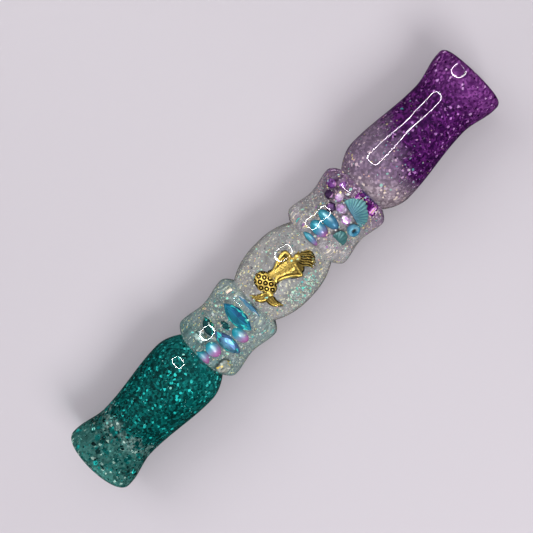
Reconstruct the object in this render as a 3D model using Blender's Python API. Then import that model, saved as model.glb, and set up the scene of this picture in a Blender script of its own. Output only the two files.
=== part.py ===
"""Double-ended duck call of cast resin, lying on its side with its long axis along X.

A three-piece barrel (a collar, a bulb and a collar) takes a turned insert at each end. Each insert
holds a toneboard with two reeds and a cork wedge, and two O-rings seal its tenon in the barrel's bore.
A brass mermaid charm lies in the bulb, and pearls, gems and shells lie in the two collars.
Metres, +Z up, teal insert at -X, purple insert at +X, origin on the ground under the middle.
"""

import math

import bmesh
import bpy
from mathutils import Matrix, Vector

MM = 0.001

# Turned outside shape
FACETS = 32  # sides of every turned piece; their flats lie at the stated radius
FLARE_RADIUS = 16.0 * MM
BULGE_RADIUS = 15.95 * MM
WAIST_RADIUS = 13.3 * MM
SHOULDER_RADIUS = 11.6 * MM
INSERT_LENGTH = 63.0 * MM  # from the shoulder to the mouth
BULGE_AT = 11.0 * MM  # distances from the shoulder
WAIST_AT = 44.5 * MM
FLARE_AT = 60.0 * MM
RIM_ROUND = 2.2 * MM
TEAL_COLLAR_LENGTH = 31.0 * MM
BULB_LENGTH = 33.0 * MM
PURPLE_COLLAR_LENGTH = 29.6 * MM
COLLAR_RADIUS = 15.6 * MM
COLLAR_WAIST_RADIUS = 14.0 * MM
COLLAR_ROUND = 4.0 * MM  # length of the rounding at each end of a collar
BULB_RADIUS = 15.7 * MM
BULB_END_RADIUS = 11.7 * MM
BULB_FULLNESS = 2.4  # exponent of the bulb's outline: 2 is a parabola, more is fuller

# Bores and joints
BORE_RADIUS = 7.94 * MM  # a 5/8 in bore
BOND_GAP = 0.05 * MM  # on each side of a glued or touching face
SPIGOT_RADIUS = 9.9 * MM
SPIGOT_LENGTH = 3.0 * MM
SPIGOT_CLEARANCE = 0.2 * MM
TENON_RADIUS = 7.6 * MM
TENON_LENGTH = 18.0 * MM
RING_GROOVES = (0.9 * MM, 11.0 * MM)  # from the shoulder to the near side of each groove
RING_GROOVE_WIDTH = 1.6 * MM
RING_GROOVE_RADIUS = 6.4 * MM
RING_INNER_RADIUS = 6.5 * MM
RING_OUTER_RADIUS = 7.85 * MM
MOUTH_RADIUS = 8.2 * MM
MOUTH_LIP = 1.4 * MM
HORN_RADIUS = 6.7 * MM  # exhaust bore where its flare starts
HORN_FROM = 34.0 * MM
THROAT_RADIUS = 4.3 * MM
THROAT_TO = 26.0 * MM
SHANK_BORE_RADIUS = 5.3 * MM
SHANK_DEPTH = 4.0 * MM  # how far the toneboard's bore passes the shoulder

# Toneboard, wedge and reeds, measured along the barrel from the shoulder
SHANK_RADIUS = 5.2 * MM
BOARD_LENGTH = 44.0 * MM
SHANK_FRONT = 20.0 * MM
SLOT_BACK = 14.0 * MM
SLOT_TOP = 3.4 * MM
BOARD_HEIGHT = 0.65 * MM
BOARD_SLOPE = math.radians(1.7)
AIR_BORE_RADIUS = 2.4 * MM
AIR_BORE_HEIGHT = -1.9 * MM
AIR_BORE_LENGTH = 20.0 * MM
AIR_BORE_MIDDLE = 5.0 * MM
CHANNEL_HALF_WIDTH = 2.2 * MM
CHANNEL_BACK = 12.0 * MM  # distances from the shank's end: where the channel starts,
CHANNEL_RISE = 26.0 * MM  # where its floor starts to rise,
CHANNEL_FRONT = 41.0 * MM  # and where it ends
CHANNEL_FLOOR = -3.8 * MM
CHANNEL_FRONT_FLOOR = -0.9 * MM
CHANNEL_ROOF = 0.4 * MM  # under the slot
CHANNEL_TOP = 3.0 * MM  # the cutter's top, clear of the face
REED_TAIL = 14.4 * MM
REED_LENGTH = 29.0 * MM
REED_HALF_WIDTH = 4.5 * MM
REED_THICKNESS = 0.3 * MM
REED_GAP = 0.1 * MM
WEDGE_HALF_WIDTH = 3.6 * MM
WEDGE_FRONT = 26.0 * MM

# Charm and inclusions
POCKET_GAP = 0.3 * MM
CHARM_TOP = 11.2 * MM
CHARM_THICKNESS = 1.7 * MM
CHARM_BEND_RADIUS = 24.0 * MM
CHARM_OUTLINE = (  # along the axis and across it, in mm from the bulb's middle: tail to hair
    (-15.1, 2.3), (-14.2, 2.6), (-12.9, 1.1), (-10.9, 0.6), (-10.4, 2.6), (-9.6, 4.9),
    (-7.5, 6.3), (-5.4, 6.3), (-3.5, 5.1), (-1.1, 3.1), (2.8, 4.4), (6.9, 4.5), (7.4, 2.2),
    (10.4, 1.3), (12.0, -0.8), (14.4, -3.1), (12.9, -4.7), (12.2, -6.8), (9.8, -7.6),
    (8.1, -5.4), (7.2, -3.0), (5.9, -3.2), (5.2, -5.9), (4.3, -6.2), (1.8, -4.0), (-1.3, -1.9),
    (-3.6, -2.7), (-5.9, -3.7), (-8.5, -3.5), (-8.2, -6.8), (-8.4, -9.2), (-10.2, -8.0),
    (-11.9, -5.4), (-13.3, -3.0), (-14.8, -0.9),
)

AXIS_HEIGHT = FLARE_RADIUS
BARREL_LENGTH = TEAL_COLLAR_LENGTH + BULB_LENGTH + PURPLE_COLLAR_LENGTH
SHOULDER_AT = BARREL_LENGTH / 2
TEAL_JOINT_AT = -SHOULDER_AT + TEAL_COLLAR_LENGTH
PURPLE_JOINT_AT = SHOULDER_AT - PURPLE_COLLAR_LENGTH
BULB_MIDDLE = (TEAL_JOINT_AT + PURPLE_JOINT_AT) / 2

# Name, shape, place along X, degrees round from the top towards +Y, radius of the outer face,
# length along X, length round the barrel, thickness, turn about the radius in degrees, colour.
TEAL_COLLAR_PIECES = (
    ("teal_marquise", "marquise", -23.9, 1, 11.7, 6.3, 14.4, 1.8, 0, (0.01, 0.30, 0.38)),
    ("sky_marquise", "marquise", -18.2, 0, 12.3, 2.2, 12.4, 1.2, 0, (0.10, 0.36, 0.60)),
    ("violet_marquise", "marquise", -34.7, -21.5, 11.3, 6.2, 13.4, 1.8, 0, (0.10, 0.22, 0.45)),
    ("dusk_pearl_long", "pearl", -28.6, -28, 13.4, 4.9, 7.6, 4.4, 0, (0.30, 0.30, 0.60)),
    ("dusk_pearl_round", "pearl", -40.4, -9, 13.2, 4.7, 6.2, 4.4, 0, (0.30, 0.30, 0.55)),
    ("dusk_pearl_end", "pearl", -44.7, -6, 12.7, 3.0, 6.0, 4.0, 0, (0.20, 0.40, 0.55)),
    ("deep_teal_marquise", "marquise", -35.6, 30, 11.4, 4.0, 9.4, 1.8, -25, (0.01, 0.10, 0.12)),
    ("deep_teal_chip", "gem", -29.9, 6, 11.8, 2.2, 4.4, 1.6, 0, (0.01, 0.08, 0.09)),
    ("clear_crystal", "gem", -42.6, -52, 12.6, 5.0, 6.0, 2.6, 0, (0.75, 0.80, 0.75)),
    ("aqua_crystal", "gem", -40.6, 27, 12.4, 4.6, 5.6, 2.4, 0, (0.25, 0.70, 0.70)),
)
PURPLE_COLLAR_PIECES = (
    ("lagoon_pearl_end", "pearl", 19.2, 5, 13.7, 2.6, 7.0, 3.0, 0, (0.20, 0.35, 0.55)),
    ("lagoon_pearl_long", "pearl", 23.8, 7, 13.4, 4.6, 7.4, 4.4, 0, (0.15, 0.38, 0.50)),
    ("lagoon_bead_long", "pearl", 29.0, 6, 13.2, 4.8, 9.2, 4.4, 0, (0.05, 0.36, 0.50)),
    ("lagoon_bead_ring", "ring", 32.9, -47, 13.0, 5.4, 5.4, 3.4, 0, (0.05, 0.34, 0.50)),
    ("green_scale", "fan", 27.6, -36, 12.0, 4.8, 6.4, 1.4, 0, (0.10, 0.38, 0.36)),
    ("scallop_shell", "fan", 40.2, -27, 12.0, 6.6, 12.4, 2.2, -16, (0.10, 0.40, 0.42)),
    ("plum_gem_outer", "gem", 36.6, 41, 12.4, 3.8, 4.0, 2.2, 0, (0.05, 0.01, 0.08)),
    ("plum_gem_inner", "gem", 33.4, 19, 12.4, 4.2, 3.8, 2.2, 0, (0.07, 0.02, 0.10)),
    ("violet_oval", "gem", 40.4, 54, 12.6, 3.8, 5.2, 2.2, 0, (0.28, 0.07, 0.42)),
    ("violet_drop", "gem", 42.6, 30, 12.6, 2.0, 3.0, 1.6, 0, (0.18, 0.03, 0.35)),
    ("rose_crystal_outer", "gem", 38.6, 21, 12.4, 4.0, 3.2, 2.2, 0, (0.80, 0.60, 0.85)),
    ("rose_crystal_middle", "gem", 35.9, 2, 12.2, 4.2, 4.0, 2.2, 0, (0.60, 0.35, 0.75)),
    ("rose_crystal_inner", "gem", 33.9, -19, 12.2, 4.0, 4.2, 2.2, 0, (0.85, 0.70, 0.85)),
)


def clear_scene():
    for old in list(bpy.data.objects):
        bpy.data.objects.remove(old, do_unlink=True)


def finish(name, colour, roughness, metallic=0.0):
    material = bpy.data.materials.new(name)
    material.use_nodes = True
    shader = material.node_tree.nodes["Principled BSDF"]
    shader.inputs["Base Color"].default_value = (*colour, 1.0)
    shader.inputs["Roughness"].default_value = roughness
    shader.inputs["Metallic"].default_value = metallic
    return material


def add_object(name, bm, material=None, parent=None, place=None):
    """Makes an object from a bmesh. One with no material is a cutter."""
    bmesh.ops.recalc_face_normals(bm, faces=bm.faces)
    mesh = bpy.data.meshes.new(name)
    bm.to_mesh(mesh)
    bm.free()
    piece = bpy.data.objects.new(name, mesh)
    bpy.context.scene.collection.objects.link(piece)
    piece.parent = parent
    if place is not None:
        piece.matrix_basis = place
    if material is None:
        piece.hide_render = True
        piece.display_type = "WIRE"
    else:
        mesh.materials.append(material)
        mesh.shade_smooth()
        mesh.set_sharp_from_angle(angle=math.radians(35))
    return piece


def cut(piece, cutter):
    boolean = piece.modifiers.new(cutter.name, "BOOLEAN")
    boolean.operation = "DIFFERENCE"
    boolean.solver = "EXACT"
    boolean.object = cutter


def turned(name, outline, material, parent=None, place=None):
    """Spins a closed outline of (x, radius) points round the X axis."""
    to_vertex = 1 / math.cos(math.pi / FACETS)
    start = Matrix.Rotation(math.pi / FACETS, 4, "X")
    bm = bmesh.new()
    ring = [bm.verts.new(start @ Vector((x, 0, r * to_vertex))) for x, r in outline]
    edges = [bm.edges.new((a, b)) for a, b in zip(ring, ring[1:] + ring[:1])]
    bmesh.ops.spin(
        bm, geom=ring + edges, axis=(1, 0, 0), cent=(0, 0, 0),
        angle=2 * math.pi, steps=FACETS, use_merge=True,
    )
    return add_object(name, bm, material, parent, place)


def prism(name, outline, low, high, material=None, parent=None, place=None):
    """Extrudes an outline of (a, b) points along the third axis, between two heights, each a number
    or a function of (a, b)."""
    bm = bmesh.new()
    rings = []
    for level in (low, high):
        heights = [level(a, b) if callable(level) else level for a, b in outline]
        rings.append([bm.verts.new((*point, height)) for point, height in zip(outline, heights)])
    bottom = bm.faces.new(rings[0])
    top = bm.faces.new(rings[1])
    bmesh.ops.bridge_loops(bm, edges=list(bottom.edges) + list(top.edges))
    bmesh.ops.triangulate(bm, faces=[bottom, top])
    return add_object(name, bm, material, parent, place)


def side_prism(name, outline, half_width, material=None, parent=None, place=None):
    """Extrudes an outline of (x, z) points across Y."""
    upright = Matrix.Rotation(math.pi / 2, 4, "X")
    turned_place = upright if place is None else place @ upright
    return prism(name, outline, -half_width, half_width, material, parent, turned_place)


def widened(outline, gap):
    """Moves each corner of an outline outwards, so that each side moves by gap."""
    area = sum(a[0] * b[1] - b[0] * a[1] for a, b in zip(outline, outline[1:] + outline[:1]))
    side = math.copysign(1, area)
    moved = []
    for before, here, after in zip(outline[-1:] + outline[:-1], outline, outline[1:] + outline[:1]):
        one = (Vector(here) - Vector(before)).normalized()
        two = (Vector(after) - Vector(here)).normalized()
        normal = Vector((one.y + two.y, -one.x - two.x)) * side
        reach = max(normal.length_squared / 2, 0.5)
        moved.append(tuple(Vector(here) + normal * gap / reach))
    return moved


def rounding(start, end, count):
    """A turned shoulder: the radius rises from start to end as a sine of the distance to the power 0.9."""
    points = []
    for i in range(count):
        share = i / count
        rise = math.sin(math.pi / 2 * share**0.9)
        points.append((start[0] + (end[0] - start[0]) * share, start[1] + (end[1] - start[1]) * rise))
    return points


def swell(start, end, count):
    """A half cosine wave from one radius to the next."""
    points = []
    for i in range(count):
        share = i / count
        rise = (1 - math.cos(math.pi * share)) / 2
        points.append((start[0] + (end[0] - start[0]) * share, start[1] + (end[1] - start[1]) * rise))
    return points


def insert_outline():
    """(x, radius) round the insert's section, x outwards from the shoulder."""
    rim_start = INSERT_LENGTH - RIM_ROUND
    rim_middle = RIM_ROUND * math.sqrt(0.5)
    outline = rounding((BOND_GAP, SHOULDER_RADIUS), (BULGE_AT, BULGE_RADIUS), 5)
    outline += swell((BULGE_AT, BULGE_RADIUS), (WAIST_AT, WAIST_RADIUS), 6)
    outline += swell((WAIST_AT, WAIST_RADIUS), (FLARE_AT, FLARE_RADIUS), 5)
    outline += [
        (rim_start, FLARE_RADIUS),
        (rim_start + rim_middle, FLARE_RADIUS - RIM_ROUND + rim_middle),
        (INSERT_LENGTH, FLARE_RADIUS - RIM_ROUND),
        (INSERT_LENGTH, MOUTH_RADIUS + MOUTH_LIP),
        (INSERT_LENGTH - MOUTH_LIP, MOUTH_RADIUS),
        (HORN_FROM, HORN_RADIUS),
        (THROAT_TO, THROAT_RADIUS),
        (SHANK_DEPTH, THROAT_RADIUS),
        (SHANK_DEPTH, SHANK_BORE_RADIUS),
        (-TENON_LENGTH, SHANK_BORE_RADIUS),
        (-TENON_LENGTH, TENON_RADIUS),
    ]
    for near in reversed(RING_GROOVES):
        outline += [
            (-near - RING_GROOVE_WIDTH, TENON_RADIUS),
            (-near - RING_GROOVE_WIDTH, RING_GROOVE_RADIUS),
            (-near, RING_GROOVE_RADIUS),
            (-near, TENON_RADIUS),
        ]
    outline.append((BOND_GAP, TENON_RADIUS))
    return outline


def ring_outline(near):
    """The six-sided section of an O-ring in the groove that starts at this distance from the shoulder."""
    middle = -near - RING_GROOVE_WIDTH / 2
    section = (RING_OUTER_RADIUS - RING_INNER_RADIUS) / 2
    centre = RING_INNER_RADIUS + section
    corners = [math.radians(60 * k) for k in range(6)]
    return [(middle + section * math.sin(c), centre + section * math.cos(c)) for c in corners]


def board_height(distance):
    """Height of the toneboard's reed face over the axis, at a distance from the shoulder."""
    return BOARD_HEIGHT - (distance - SLOT_BACK) * math.tan(BOARD_SLOPE)


def build_toneboard(name, parent):
    """A round rod whose front half is milled to a curved face with an air channel, and whose shank
    is bored to let the air through."""
    length = BOARD_LENGTH + SHANK_DEPTH - 2 * BOND_GAP
    start = SHANK_DEPTH - 2 * BOND_GAP
    beyond = BOARD_LENGTH + 2 * MM
    head = 8 * MM
    rod = bmesh.new()
    bmesh.ops.create_cone(
        rod, cap_ends=True, segments=FACETS, radius1=SHANK_RADIUS, radius2=SHANK_RADIUS, depth=length,
        matrix=Matrix.Translation((start - length / 2, 0, 0)) @ Matrix.Rotation(math.pi / 2, 4, "Y"),
    )
    board = add_object(name, rod, finish(name, (0.02, 0.02, 0.022), 0.35), parent)

    over_board = [
        (-SLOT_BACK, BOARD_HEIGHT), (-beyond, board_height(beyond)), (-beyond, head),
        (-SHANK_FRONT, head), (-SHANK_FRONT, SLOT_TOP), (-SLOT_BACK, SLOT_TOP),
    ]
    cut(board, side_prism(name + "_face_cutter", over_board, head, parent=parent))

    channel = [
        (-CHANNEL_BACK, CHANNEL_FLOOR), (-CHANNEL_RISE, CHANNEL_FLOOR),
        (-CHANNEL_FRONT, CHANNEL_FRONT_FLOOR), (-CHANNEL_FRONT, CHANNEL_TOP),
        (-SLOT_BACK, CHANNEL_TOP), (-SLOT_BACK, CHANNEL_ROOF), (-CHANNEL_BACK, CHANNEL_ROOF),
    ]
    cut(board, side_prism(name + "_channel_cutter", channel, CHANNEL_HALF_WIDTH, parent=parent))

    bore = bmesh.new()
    bmesh.ops.create_cone(
        bore, cap_ends=True, segments=16, radius1=AIR_BORE_RADIUS, radius2=AIR_BORE_RADIUS,
        depth=AIR_BORE_LENGTH,
        matrix=Matrix.Translation((-AIR_BORE_MIDDLE, 0, AIR_BORE_HEIGHT))
        @ Matrix.Rotation(math.pi / 2, 4, "Y"),
    )
    cut(board, add_object(name + "_bore_cutter", bore, parent=parent))


def build_reed(name, level, length, parent):
    """A thin blade with a rounded tip. Its origin is on the line it bends about, at its clamped tail."""
    low = BOARD_HEIGHT + REED_GAP + level * (REED_THICKNESS + REED_GAP)
    tip = 2.2 * MM
    outline = [(0, -REED_HALF_WIDTH), (0, REED_HALF_WIDTH)]
    for degrees in (0, 30, 60, 90, 120, 150, 180):
        turn = math.radians(degrees)
        outline.append((-length + tip - tip * math.sin(turn), REED_HALF_WIDTH * math.cos(turn)))
    half = REED_THICKNESS / 2
    place = Matrix.Translation((-REED_TAIL, 0, low + half))
    prism(name, outline, -half, half, finish(name, (0.75, 0.78, 0.80), 0.15), parent, place)


def build_wedge(name, parent):
    """The cork that holds the reeds' tails down, pressed into the slot."""
    bottom = BOARD_HEIGHT + 3 * REED_GAP + 2 * REED_THICKNESS
    side = [
        (-SLOT_BACK - 3 * REED_GAP, bottom), (-WEDGE_FRONT, bottom), (-WEDGE_FRONT, 3.9 * MM),
        (-SHANK_FRONT, SLOT_TOP - REED_GAP), (-SLOT_BACK - 3 * REED_GAP, 2.7 * MM),
    ]
    side_prism(name, side, WEDGE_HALF_WIDTH, finish(name, (0.50, 0.32, 0.17), 0.9), parent)


def build_end(colour_name, colour, place):
    """One insert with all that it carries, under an empty on its axis with +X out of the barrel."""
    joint = bpy.data.objects.new(colour_name + "_insert_joint", None)
    bpy.context.scene.collection.objects.link(joint)
    joint.matrix_basis = place
    resin = finish(colour_name + "_resin", colour, 0.12)
    turned(colour_name + "_insert", insert_outline(), resin, joint)
    for ring_name, near in zip(("outer", "inner"), RING_GROOVES):
        name = f"{colour_name}_o_ring_{ring_name}"
        turned(name, ring_outline(near), finish(name, (0.015, 0.015, 0.02), 0.45), joint)
    build_toneboard(colour_name + "_toneboard", joint)
    build_reed(colour_name + "_reed_lower", 0, REED_LENGTH, joint)
    build_reed(colour_name + "_reed_upper", 1, REED_LENGTH - 1.5 * MM, joint)
    build_wedge(colour_name + "_cork_wedge", joint)


def on_axis(x=0.0, degrees=0.0, radius=0.0):
    """A place at this radius, turned from the top towards +Y, with its own Z pointing away from the axis."""
    turn = Matrix.Rotation(-math.radians(degrees), 4, "X")
    return Matrix.Translation((x, 0, AXIS_HEIGHT)) @ turn @ Matrix.Translation((0, 0, radius))


def collar_outline(length):
    """(x, radius) round a collar's section, from its insert end at 0 to its bulb end at length."""
    top = COLLAR_ROUND
    face = BULB_END_RADIUS
    near = rounding((BOND_GAP, face), (top, COLLAR_RADIUS), 4)
    far = [(length - x, r) for x, r in reversed(near)]
    outline = near + swell((top, COLLAR_RADIUS), (length / 2, COLLAR_WAIST_RADIUS), 4)
    outline += swell((length / 2, COLLAR_WAIST_RADIUS), (length - top, COLLAR_RADIUS), 4)
    outline += [(length - top, COLLAR_RADIUS)] + far
    step = length - SPIGOT_LENGTH - 2 * BOND_GAP
    outline += [
        (length - BOND_GAP, SPIGOT_RADIUS + SPIGOT_CLEARANCE),
        (step, SPIGOT_RADIUS + SPIGOT_CLEARANCE),
        (step, BORE_RADIUS),
        (0.6 * MM, BORE_RADIUS),
        (BOND_GAP, BORE_RADIUS + 0.5 * MM),
    ]
    return outline


def bulb_outline():
    half = BULB_LENGTH / 2 - BOND_GAP
    spigot_end = BULB_LENGTH / 2 + SPIGOT_LENGTH
    outline = []
    for i in range(-6, 7):
        share = i / 6
        drop = (BULB_RADIUS - BULB_END_RADIUS) * abs(share) ** BULB_FULLNESS
        outline.append((half * share, BULB_RADIUS - drop))
    outline += [
        (half, SPIGOT_RADIUS), (spigot_end, SPIGOT_RADIUS), (spigot_end, BORE_RADIUS),
        (-spigot_end, BORE_RADIUS), (-spigot_end, SPIGOT_RADIUS), (-half, SPIGOT_RADIUS),
    ]
    return outline


def marquise(length_x, length_round):
    """A pointed oval: the half width falls with the square of the distance from the middle."""
    steps = [k / 4 for k in range(-4, 5)]
    right = [(length_x / 2 * (1 - t * t), length_round / 2 * t) for t in steps]
    left = [(-a, b) for a, b in reversed(right[1:-1])]
    return right + left


def oval(length_x, length_round, count=8):
    turns = [math.tau * (k + 0.5) / count for k in range(count)]
    return [(length_x / 2 * math.cos(t), length_round / 2 * math.sin(t)) for t in turns]


def fan(length_x, length_round):
    """A half-moon with its straight side at -X and a scalloped round side at +X."""
    ribs = 12
    points = []
    for k in range(ribs + 1):
        turn = math.pi * (k / ribs - 0.5)
        reach = 1.0 if k % 2 == 0 else 0.93
        points.append((length_x * (reach * math.cos(turn) - 0.5), length_round / 2 * reach * math.sin(turn)))
    return points


def faceted(name, outline, thickness, colour, place):
    """A gem or a shell: a back smaller than the girdle, and a table smaller still."""
    bm = bmesh.new()
    rings = []
    for scale, height in ((0.78, -thickness), (1.0, -thickness * 0.55), (0.62, 0.0)):
        rings.append([bm.verts.new((a * scale, b * scale, height)) for a, b in outline])
    back = bm.faces.new(rings[0])
    table = bm.faces.new(rings[-1])
    for lower, upper in zip(rings, rings[1:]):
        for i in range(len(outline)):
            after = (i + 1) % len(outline)
            bm.faces.new((lower[i], lower[after], upper[after], upper[i]))
    bmesh.ops.triangulate(bm, faces=[back, table])
    add_object(name, bm, finish(name, colour, 0.08), None, place)


def pearl(name, length_x, length_round, thickness, colour, place):
    bm = bmesh.new()
    bmesh.ops.create_uvsphere(bm, u_segments=12, v_segments=8, radius=0.5)
    bmesh.ops.scale(bm, vec=(length_x, length_round, thickness), verts=bm.verts)
    bmesh.ops.translate(bm, vec=(0, 0, -thickness / 2), verts=bm.verts)
    add_object(name, bm, finish(name, colour, 0.2), None, place)


def ring_bead(name, length_x, length_round, thickness, colour, place):
    """A bead with a hole along the radius, spun from a six-sided section."""
    hole = 0.28
    section = (1 - hole) / 4
    centre = hole / 2 + section
    corners = [math.tau * (k + 0.5) / 6 for k in range(6)]
    bm = bmesh.new()
    loop = [bm.verts.new((centre + section * math.cos(c), 0, 0.5 * math.sin(c))) for c in corners]
    edges = [bm.edges.new((a, b)) for a, b in zip(loop, loop[1:] + loop[:1])]
    bmesh.ops.spin(
        bm, geom=loop + edges, axis=(0, 0, 1), cent=(0, 0, 0), angle=math.tau, steps=12, use_merge=True
    )
    bmesh.ops.scale(bm, vec=(length_x, length_round, thickness), verts=bm.verts)
    bmesh.ops.translate(bm, vec=(0, 0, -thickness / 2), verts=bm.verts)
    add_object(name, bm, finish(name, colour, 0.2), None, place)


def round_outline(length_x, length_round):
    return oval(length_x, length_round, count=12)


# shape: its outline, and the function that builds it
INCLUSION_SHAPES = {
    "marquise": (marquise, faceted),
    "fan": (fan, faceted),
    "gem": (oval, faceted),
    "ring": (round_outline, ring_bead),
    "pearl": (round_outline, pearl),
}


def build_inclusion(collar, row):
    """One piece set into the collar, and the pocket round it, which stays open to the outside."""
    name, shape, x, degrees, radius, length_x, length_round, thickness, turn, colour = row
    place = on_axis(x * MM, degrees, radius * MM) @ Matrix.Rotation(math.radians(turn), 4, "Z")
    size = (length_x * MM, length_round * MM)
    depth = thickness * MM
    outline_of, build = INCLUSION_SHAPES[shape]
    outline = outline_of(*size)
    if build is faceted:
        faceted(name, outline, depth, colour, place)
    else:
        build(name, *size, depth, colour, place)
    pocket = prism(
        name + "_pocket", widened(outline, POCKET_GAP), -depth - POCKET_GAP, 8 * MM, place=place
    )
    cut(collar, pocket)


def build_charm(bulb):
    """The charm is a brass plate bent round the barrel, in a pocket of its own outline."""
    outline = [(x * MM, y * MM) for x, y in CHARM_OUTLINE]

    def top(_x, y):
        return CHARM_TOP - y * y / (2 * CHARM_BEND_RADIUS)

    def back(x, y):
        return top(x, y) - CHARM_THICKNESS

    def pocket_floor(x, y):
        return back(x, y) - POCKET_GAP

    place = on_axis(BULB_MIDDLE)
    brass = finish("mermaid_charm", (0.55, 0.36, 0.08), 0.3, 1.0)
    prism("mermaid_charm", outline, back, top, brass, None, place)
    pocket = prism(
        "charm_pocket", widened(outline, POCKET_GAP), pocket_floor, BULB_RADIUS + 2 * MM, place=place
    )
    cut(bulb, pocket)


def build_barrel():
    bulb = turned(
        "barrel_bulb", bulb_outline(), finish("milky_glitter_resin", (0.62, 0.62, 0.62), 0.12),
        place=on_axis(BULB_MIDDLE),
    )
    build_charm(bulb)
    teal_collar = turned(
        "teal_collar", collar_outline(TEAL_COLLAR_LENGTH),
        finish("teal_collar_resin", (0.50, 0.58, 0.57), 0.12), place=on_axis(-SHOULDER_AT),
    )
    for row in TEAL_COLLAR_PIECES:
        build_inclusion(teal_collar, row)
    about_face = Matrix.Rotation(math.pi, 4, "Z")
    purple_collar = turned(
        "purple_collar", collar_outline(PURPLE_COLLAR_LENGTH),
        finish("purple_collar_resin", (0.57, 0.53, 0.60), 0.12), place=on_axis(SHOULDER_AT) @ about_face,
    )
    for row in PURPLE_COLLAR_PIECES:
        build_inclusion(purple_collar, row)


clear_scene()
build_barrel()
build_end("teal", (0.01, 0.20, 0.19), on_axis(-SHOULDER_AT) @ Matrix.Rotation(math.pi, 4, "Z"))
build_end("purple", (0.12, 0.02, 0.20), on_axis(SHOULDER_AT))
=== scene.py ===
"""A double-ended duck call of cast resin, lying on its side: its looks, built round the fixed frame."""
import math

import bmesh
import bpy
import numpy as np
from mathutils import Matrix, Vector


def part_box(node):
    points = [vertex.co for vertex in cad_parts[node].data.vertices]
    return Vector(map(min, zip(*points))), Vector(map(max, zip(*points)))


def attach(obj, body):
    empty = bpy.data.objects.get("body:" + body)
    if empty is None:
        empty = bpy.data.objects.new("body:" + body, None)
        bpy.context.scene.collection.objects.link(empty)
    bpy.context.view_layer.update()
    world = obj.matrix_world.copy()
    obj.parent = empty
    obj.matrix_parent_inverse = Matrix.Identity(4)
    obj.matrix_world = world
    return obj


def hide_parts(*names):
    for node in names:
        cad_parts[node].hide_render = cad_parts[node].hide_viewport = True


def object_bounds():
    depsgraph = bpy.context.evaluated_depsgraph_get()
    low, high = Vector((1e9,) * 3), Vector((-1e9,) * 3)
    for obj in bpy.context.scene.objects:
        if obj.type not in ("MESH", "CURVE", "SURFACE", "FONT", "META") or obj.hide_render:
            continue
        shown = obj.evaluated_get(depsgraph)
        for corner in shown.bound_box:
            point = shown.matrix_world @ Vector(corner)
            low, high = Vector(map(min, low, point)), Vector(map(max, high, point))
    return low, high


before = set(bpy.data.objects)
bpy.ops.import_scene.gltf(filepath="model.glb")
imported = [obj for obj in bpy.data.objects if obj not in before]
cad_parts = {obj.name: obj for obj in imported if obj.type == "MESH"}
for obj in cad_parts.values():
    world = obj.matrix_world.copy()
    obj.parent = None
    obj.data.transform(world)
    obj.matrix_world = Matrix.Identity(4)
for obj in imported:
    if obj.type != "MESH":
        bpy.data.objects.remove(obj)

cad_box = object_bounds()

# ---------------------------------------------------------------------------------------------
# The stage: the call lies on a pale table and is seen from nearly straight above, turned to a
# diagonal. A soft box on each side lights it, and a frame of thin lamps over its back side
# leaves the narrow bright loops in the polish.

MM = 0.001
AXIS_HEIGHT = (cad_box[0].z + cad_box[1].z) / 2
VIEW_LEAN = math.radians(5.0)  # the camera stands a little towards the purple end
VIEW_TURN = math.radians(-45.9)
VIEW_DISTANCE = 0.5
VIEW_LENS = 82.9
VIEW_SHIFT = (-0.028, 0.011)


def new_object(name, data):
    made = bpy.data.objects.new(name, data)
    bpy.context.scene.collection.objects.link(made)
    return made


def add_node(tree, kind, values=(), **settings):
    """A shader node with its settings, and values for its input sockets by name or number."""
    node = tree.nodes.new("ShaderNode" + kind)
    for key, value in settings.items():
        setattr(node, key, value)
    for key, value in dict(values).items():
        node.inputs[key].default_value = value
    return node


def wire(*links):
    """Each link runs from a node's output to another node's input: (node, output, node, input)."""
    for source, output, target, entry in links:
        source.id_data.links.new(source.outputs[output], target.inputs[entry])


def new_material(name, values=()):
    """A material, its node tree and its Principled shader, with values for the shader's sockets."""
    material = bpy.data.materials.new(name)
    material.use_nodes = True
    shader = material.node_tree.nodes["Principled BSDF"]
    for key, value in dict(values).items():
        shader.inputs[key].default_value = value
    return material, material.node_tree, shader


def textured(tree, kind, values, stretch=None):
    """A texture over the piece's own coordinates, which may be stretched first."""
    texture = add_node(tree, kind, values)
    coordinates, output = add_node(tree, "TexCoord"), "Object"
    if stretch:
        mapping = add_node(tree, "Mapping", {"Scale": stretch})
        wire((coordinates, output, mapping, "Vector"))
        coordinates, output = mapping, "Vector"
    wire((coordinates, output, texture, "Vector"))
    return texture


def spread(source, output, target, entry, low, high, start=0.0, end=1.0):
    """Feeds a socket with a value that is low where the source is at its start and high at its end."""
    ends = {"From Min": start, "From Max": end, "To Min": low, "To Max": high}
    ranged = add_node(source.id_data, "MapRange", ends)
    wire((source, output, ranged, "Value"), (ranged, "Result", target, entry))


def blend(source, output, shader, first, second):
    """Feeds the base colour with a mix of two colours, the first where the source is 0."""
    ends = {"A": (*first, 1), "B": (*second, 1)}
    mixed = add_node(shader.id_data, "Mix", ends, data_type="RGBA")
    wire((source, output, mixed, "Factor"), (mixed, "Result", shader, "Base Color"))


view_turn = Matrix.Rotation(VIEW_LEAN, 4, "Y") @ Matrix.Rotation(VIEW_TURN, 4, "Z")
view_place = Matrix.Translation((0, 0, AXIS_HEIGHT)) @ view_turn
camera = new_object("camera", bpy.data.cameras.new("camera"))
camera.matrix_world = view_place @ Matrix.Translation((0, 0, VIEW_DISTANCE))
camera.data.lens = VIEW_LENS
camera.data.shift_x, camera.data.shift_y = VIEW_SHIFT
camera.data.clip_start = 0.01
bpy.context.scene.camera = camera
bpy.context.scene.view_settings.view_transform = "Standard"
bpy.context.scene.cycles.glossy_bounces = 12
bpy.context.scene.cycles.transparent_max_bounces = 16

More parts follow.
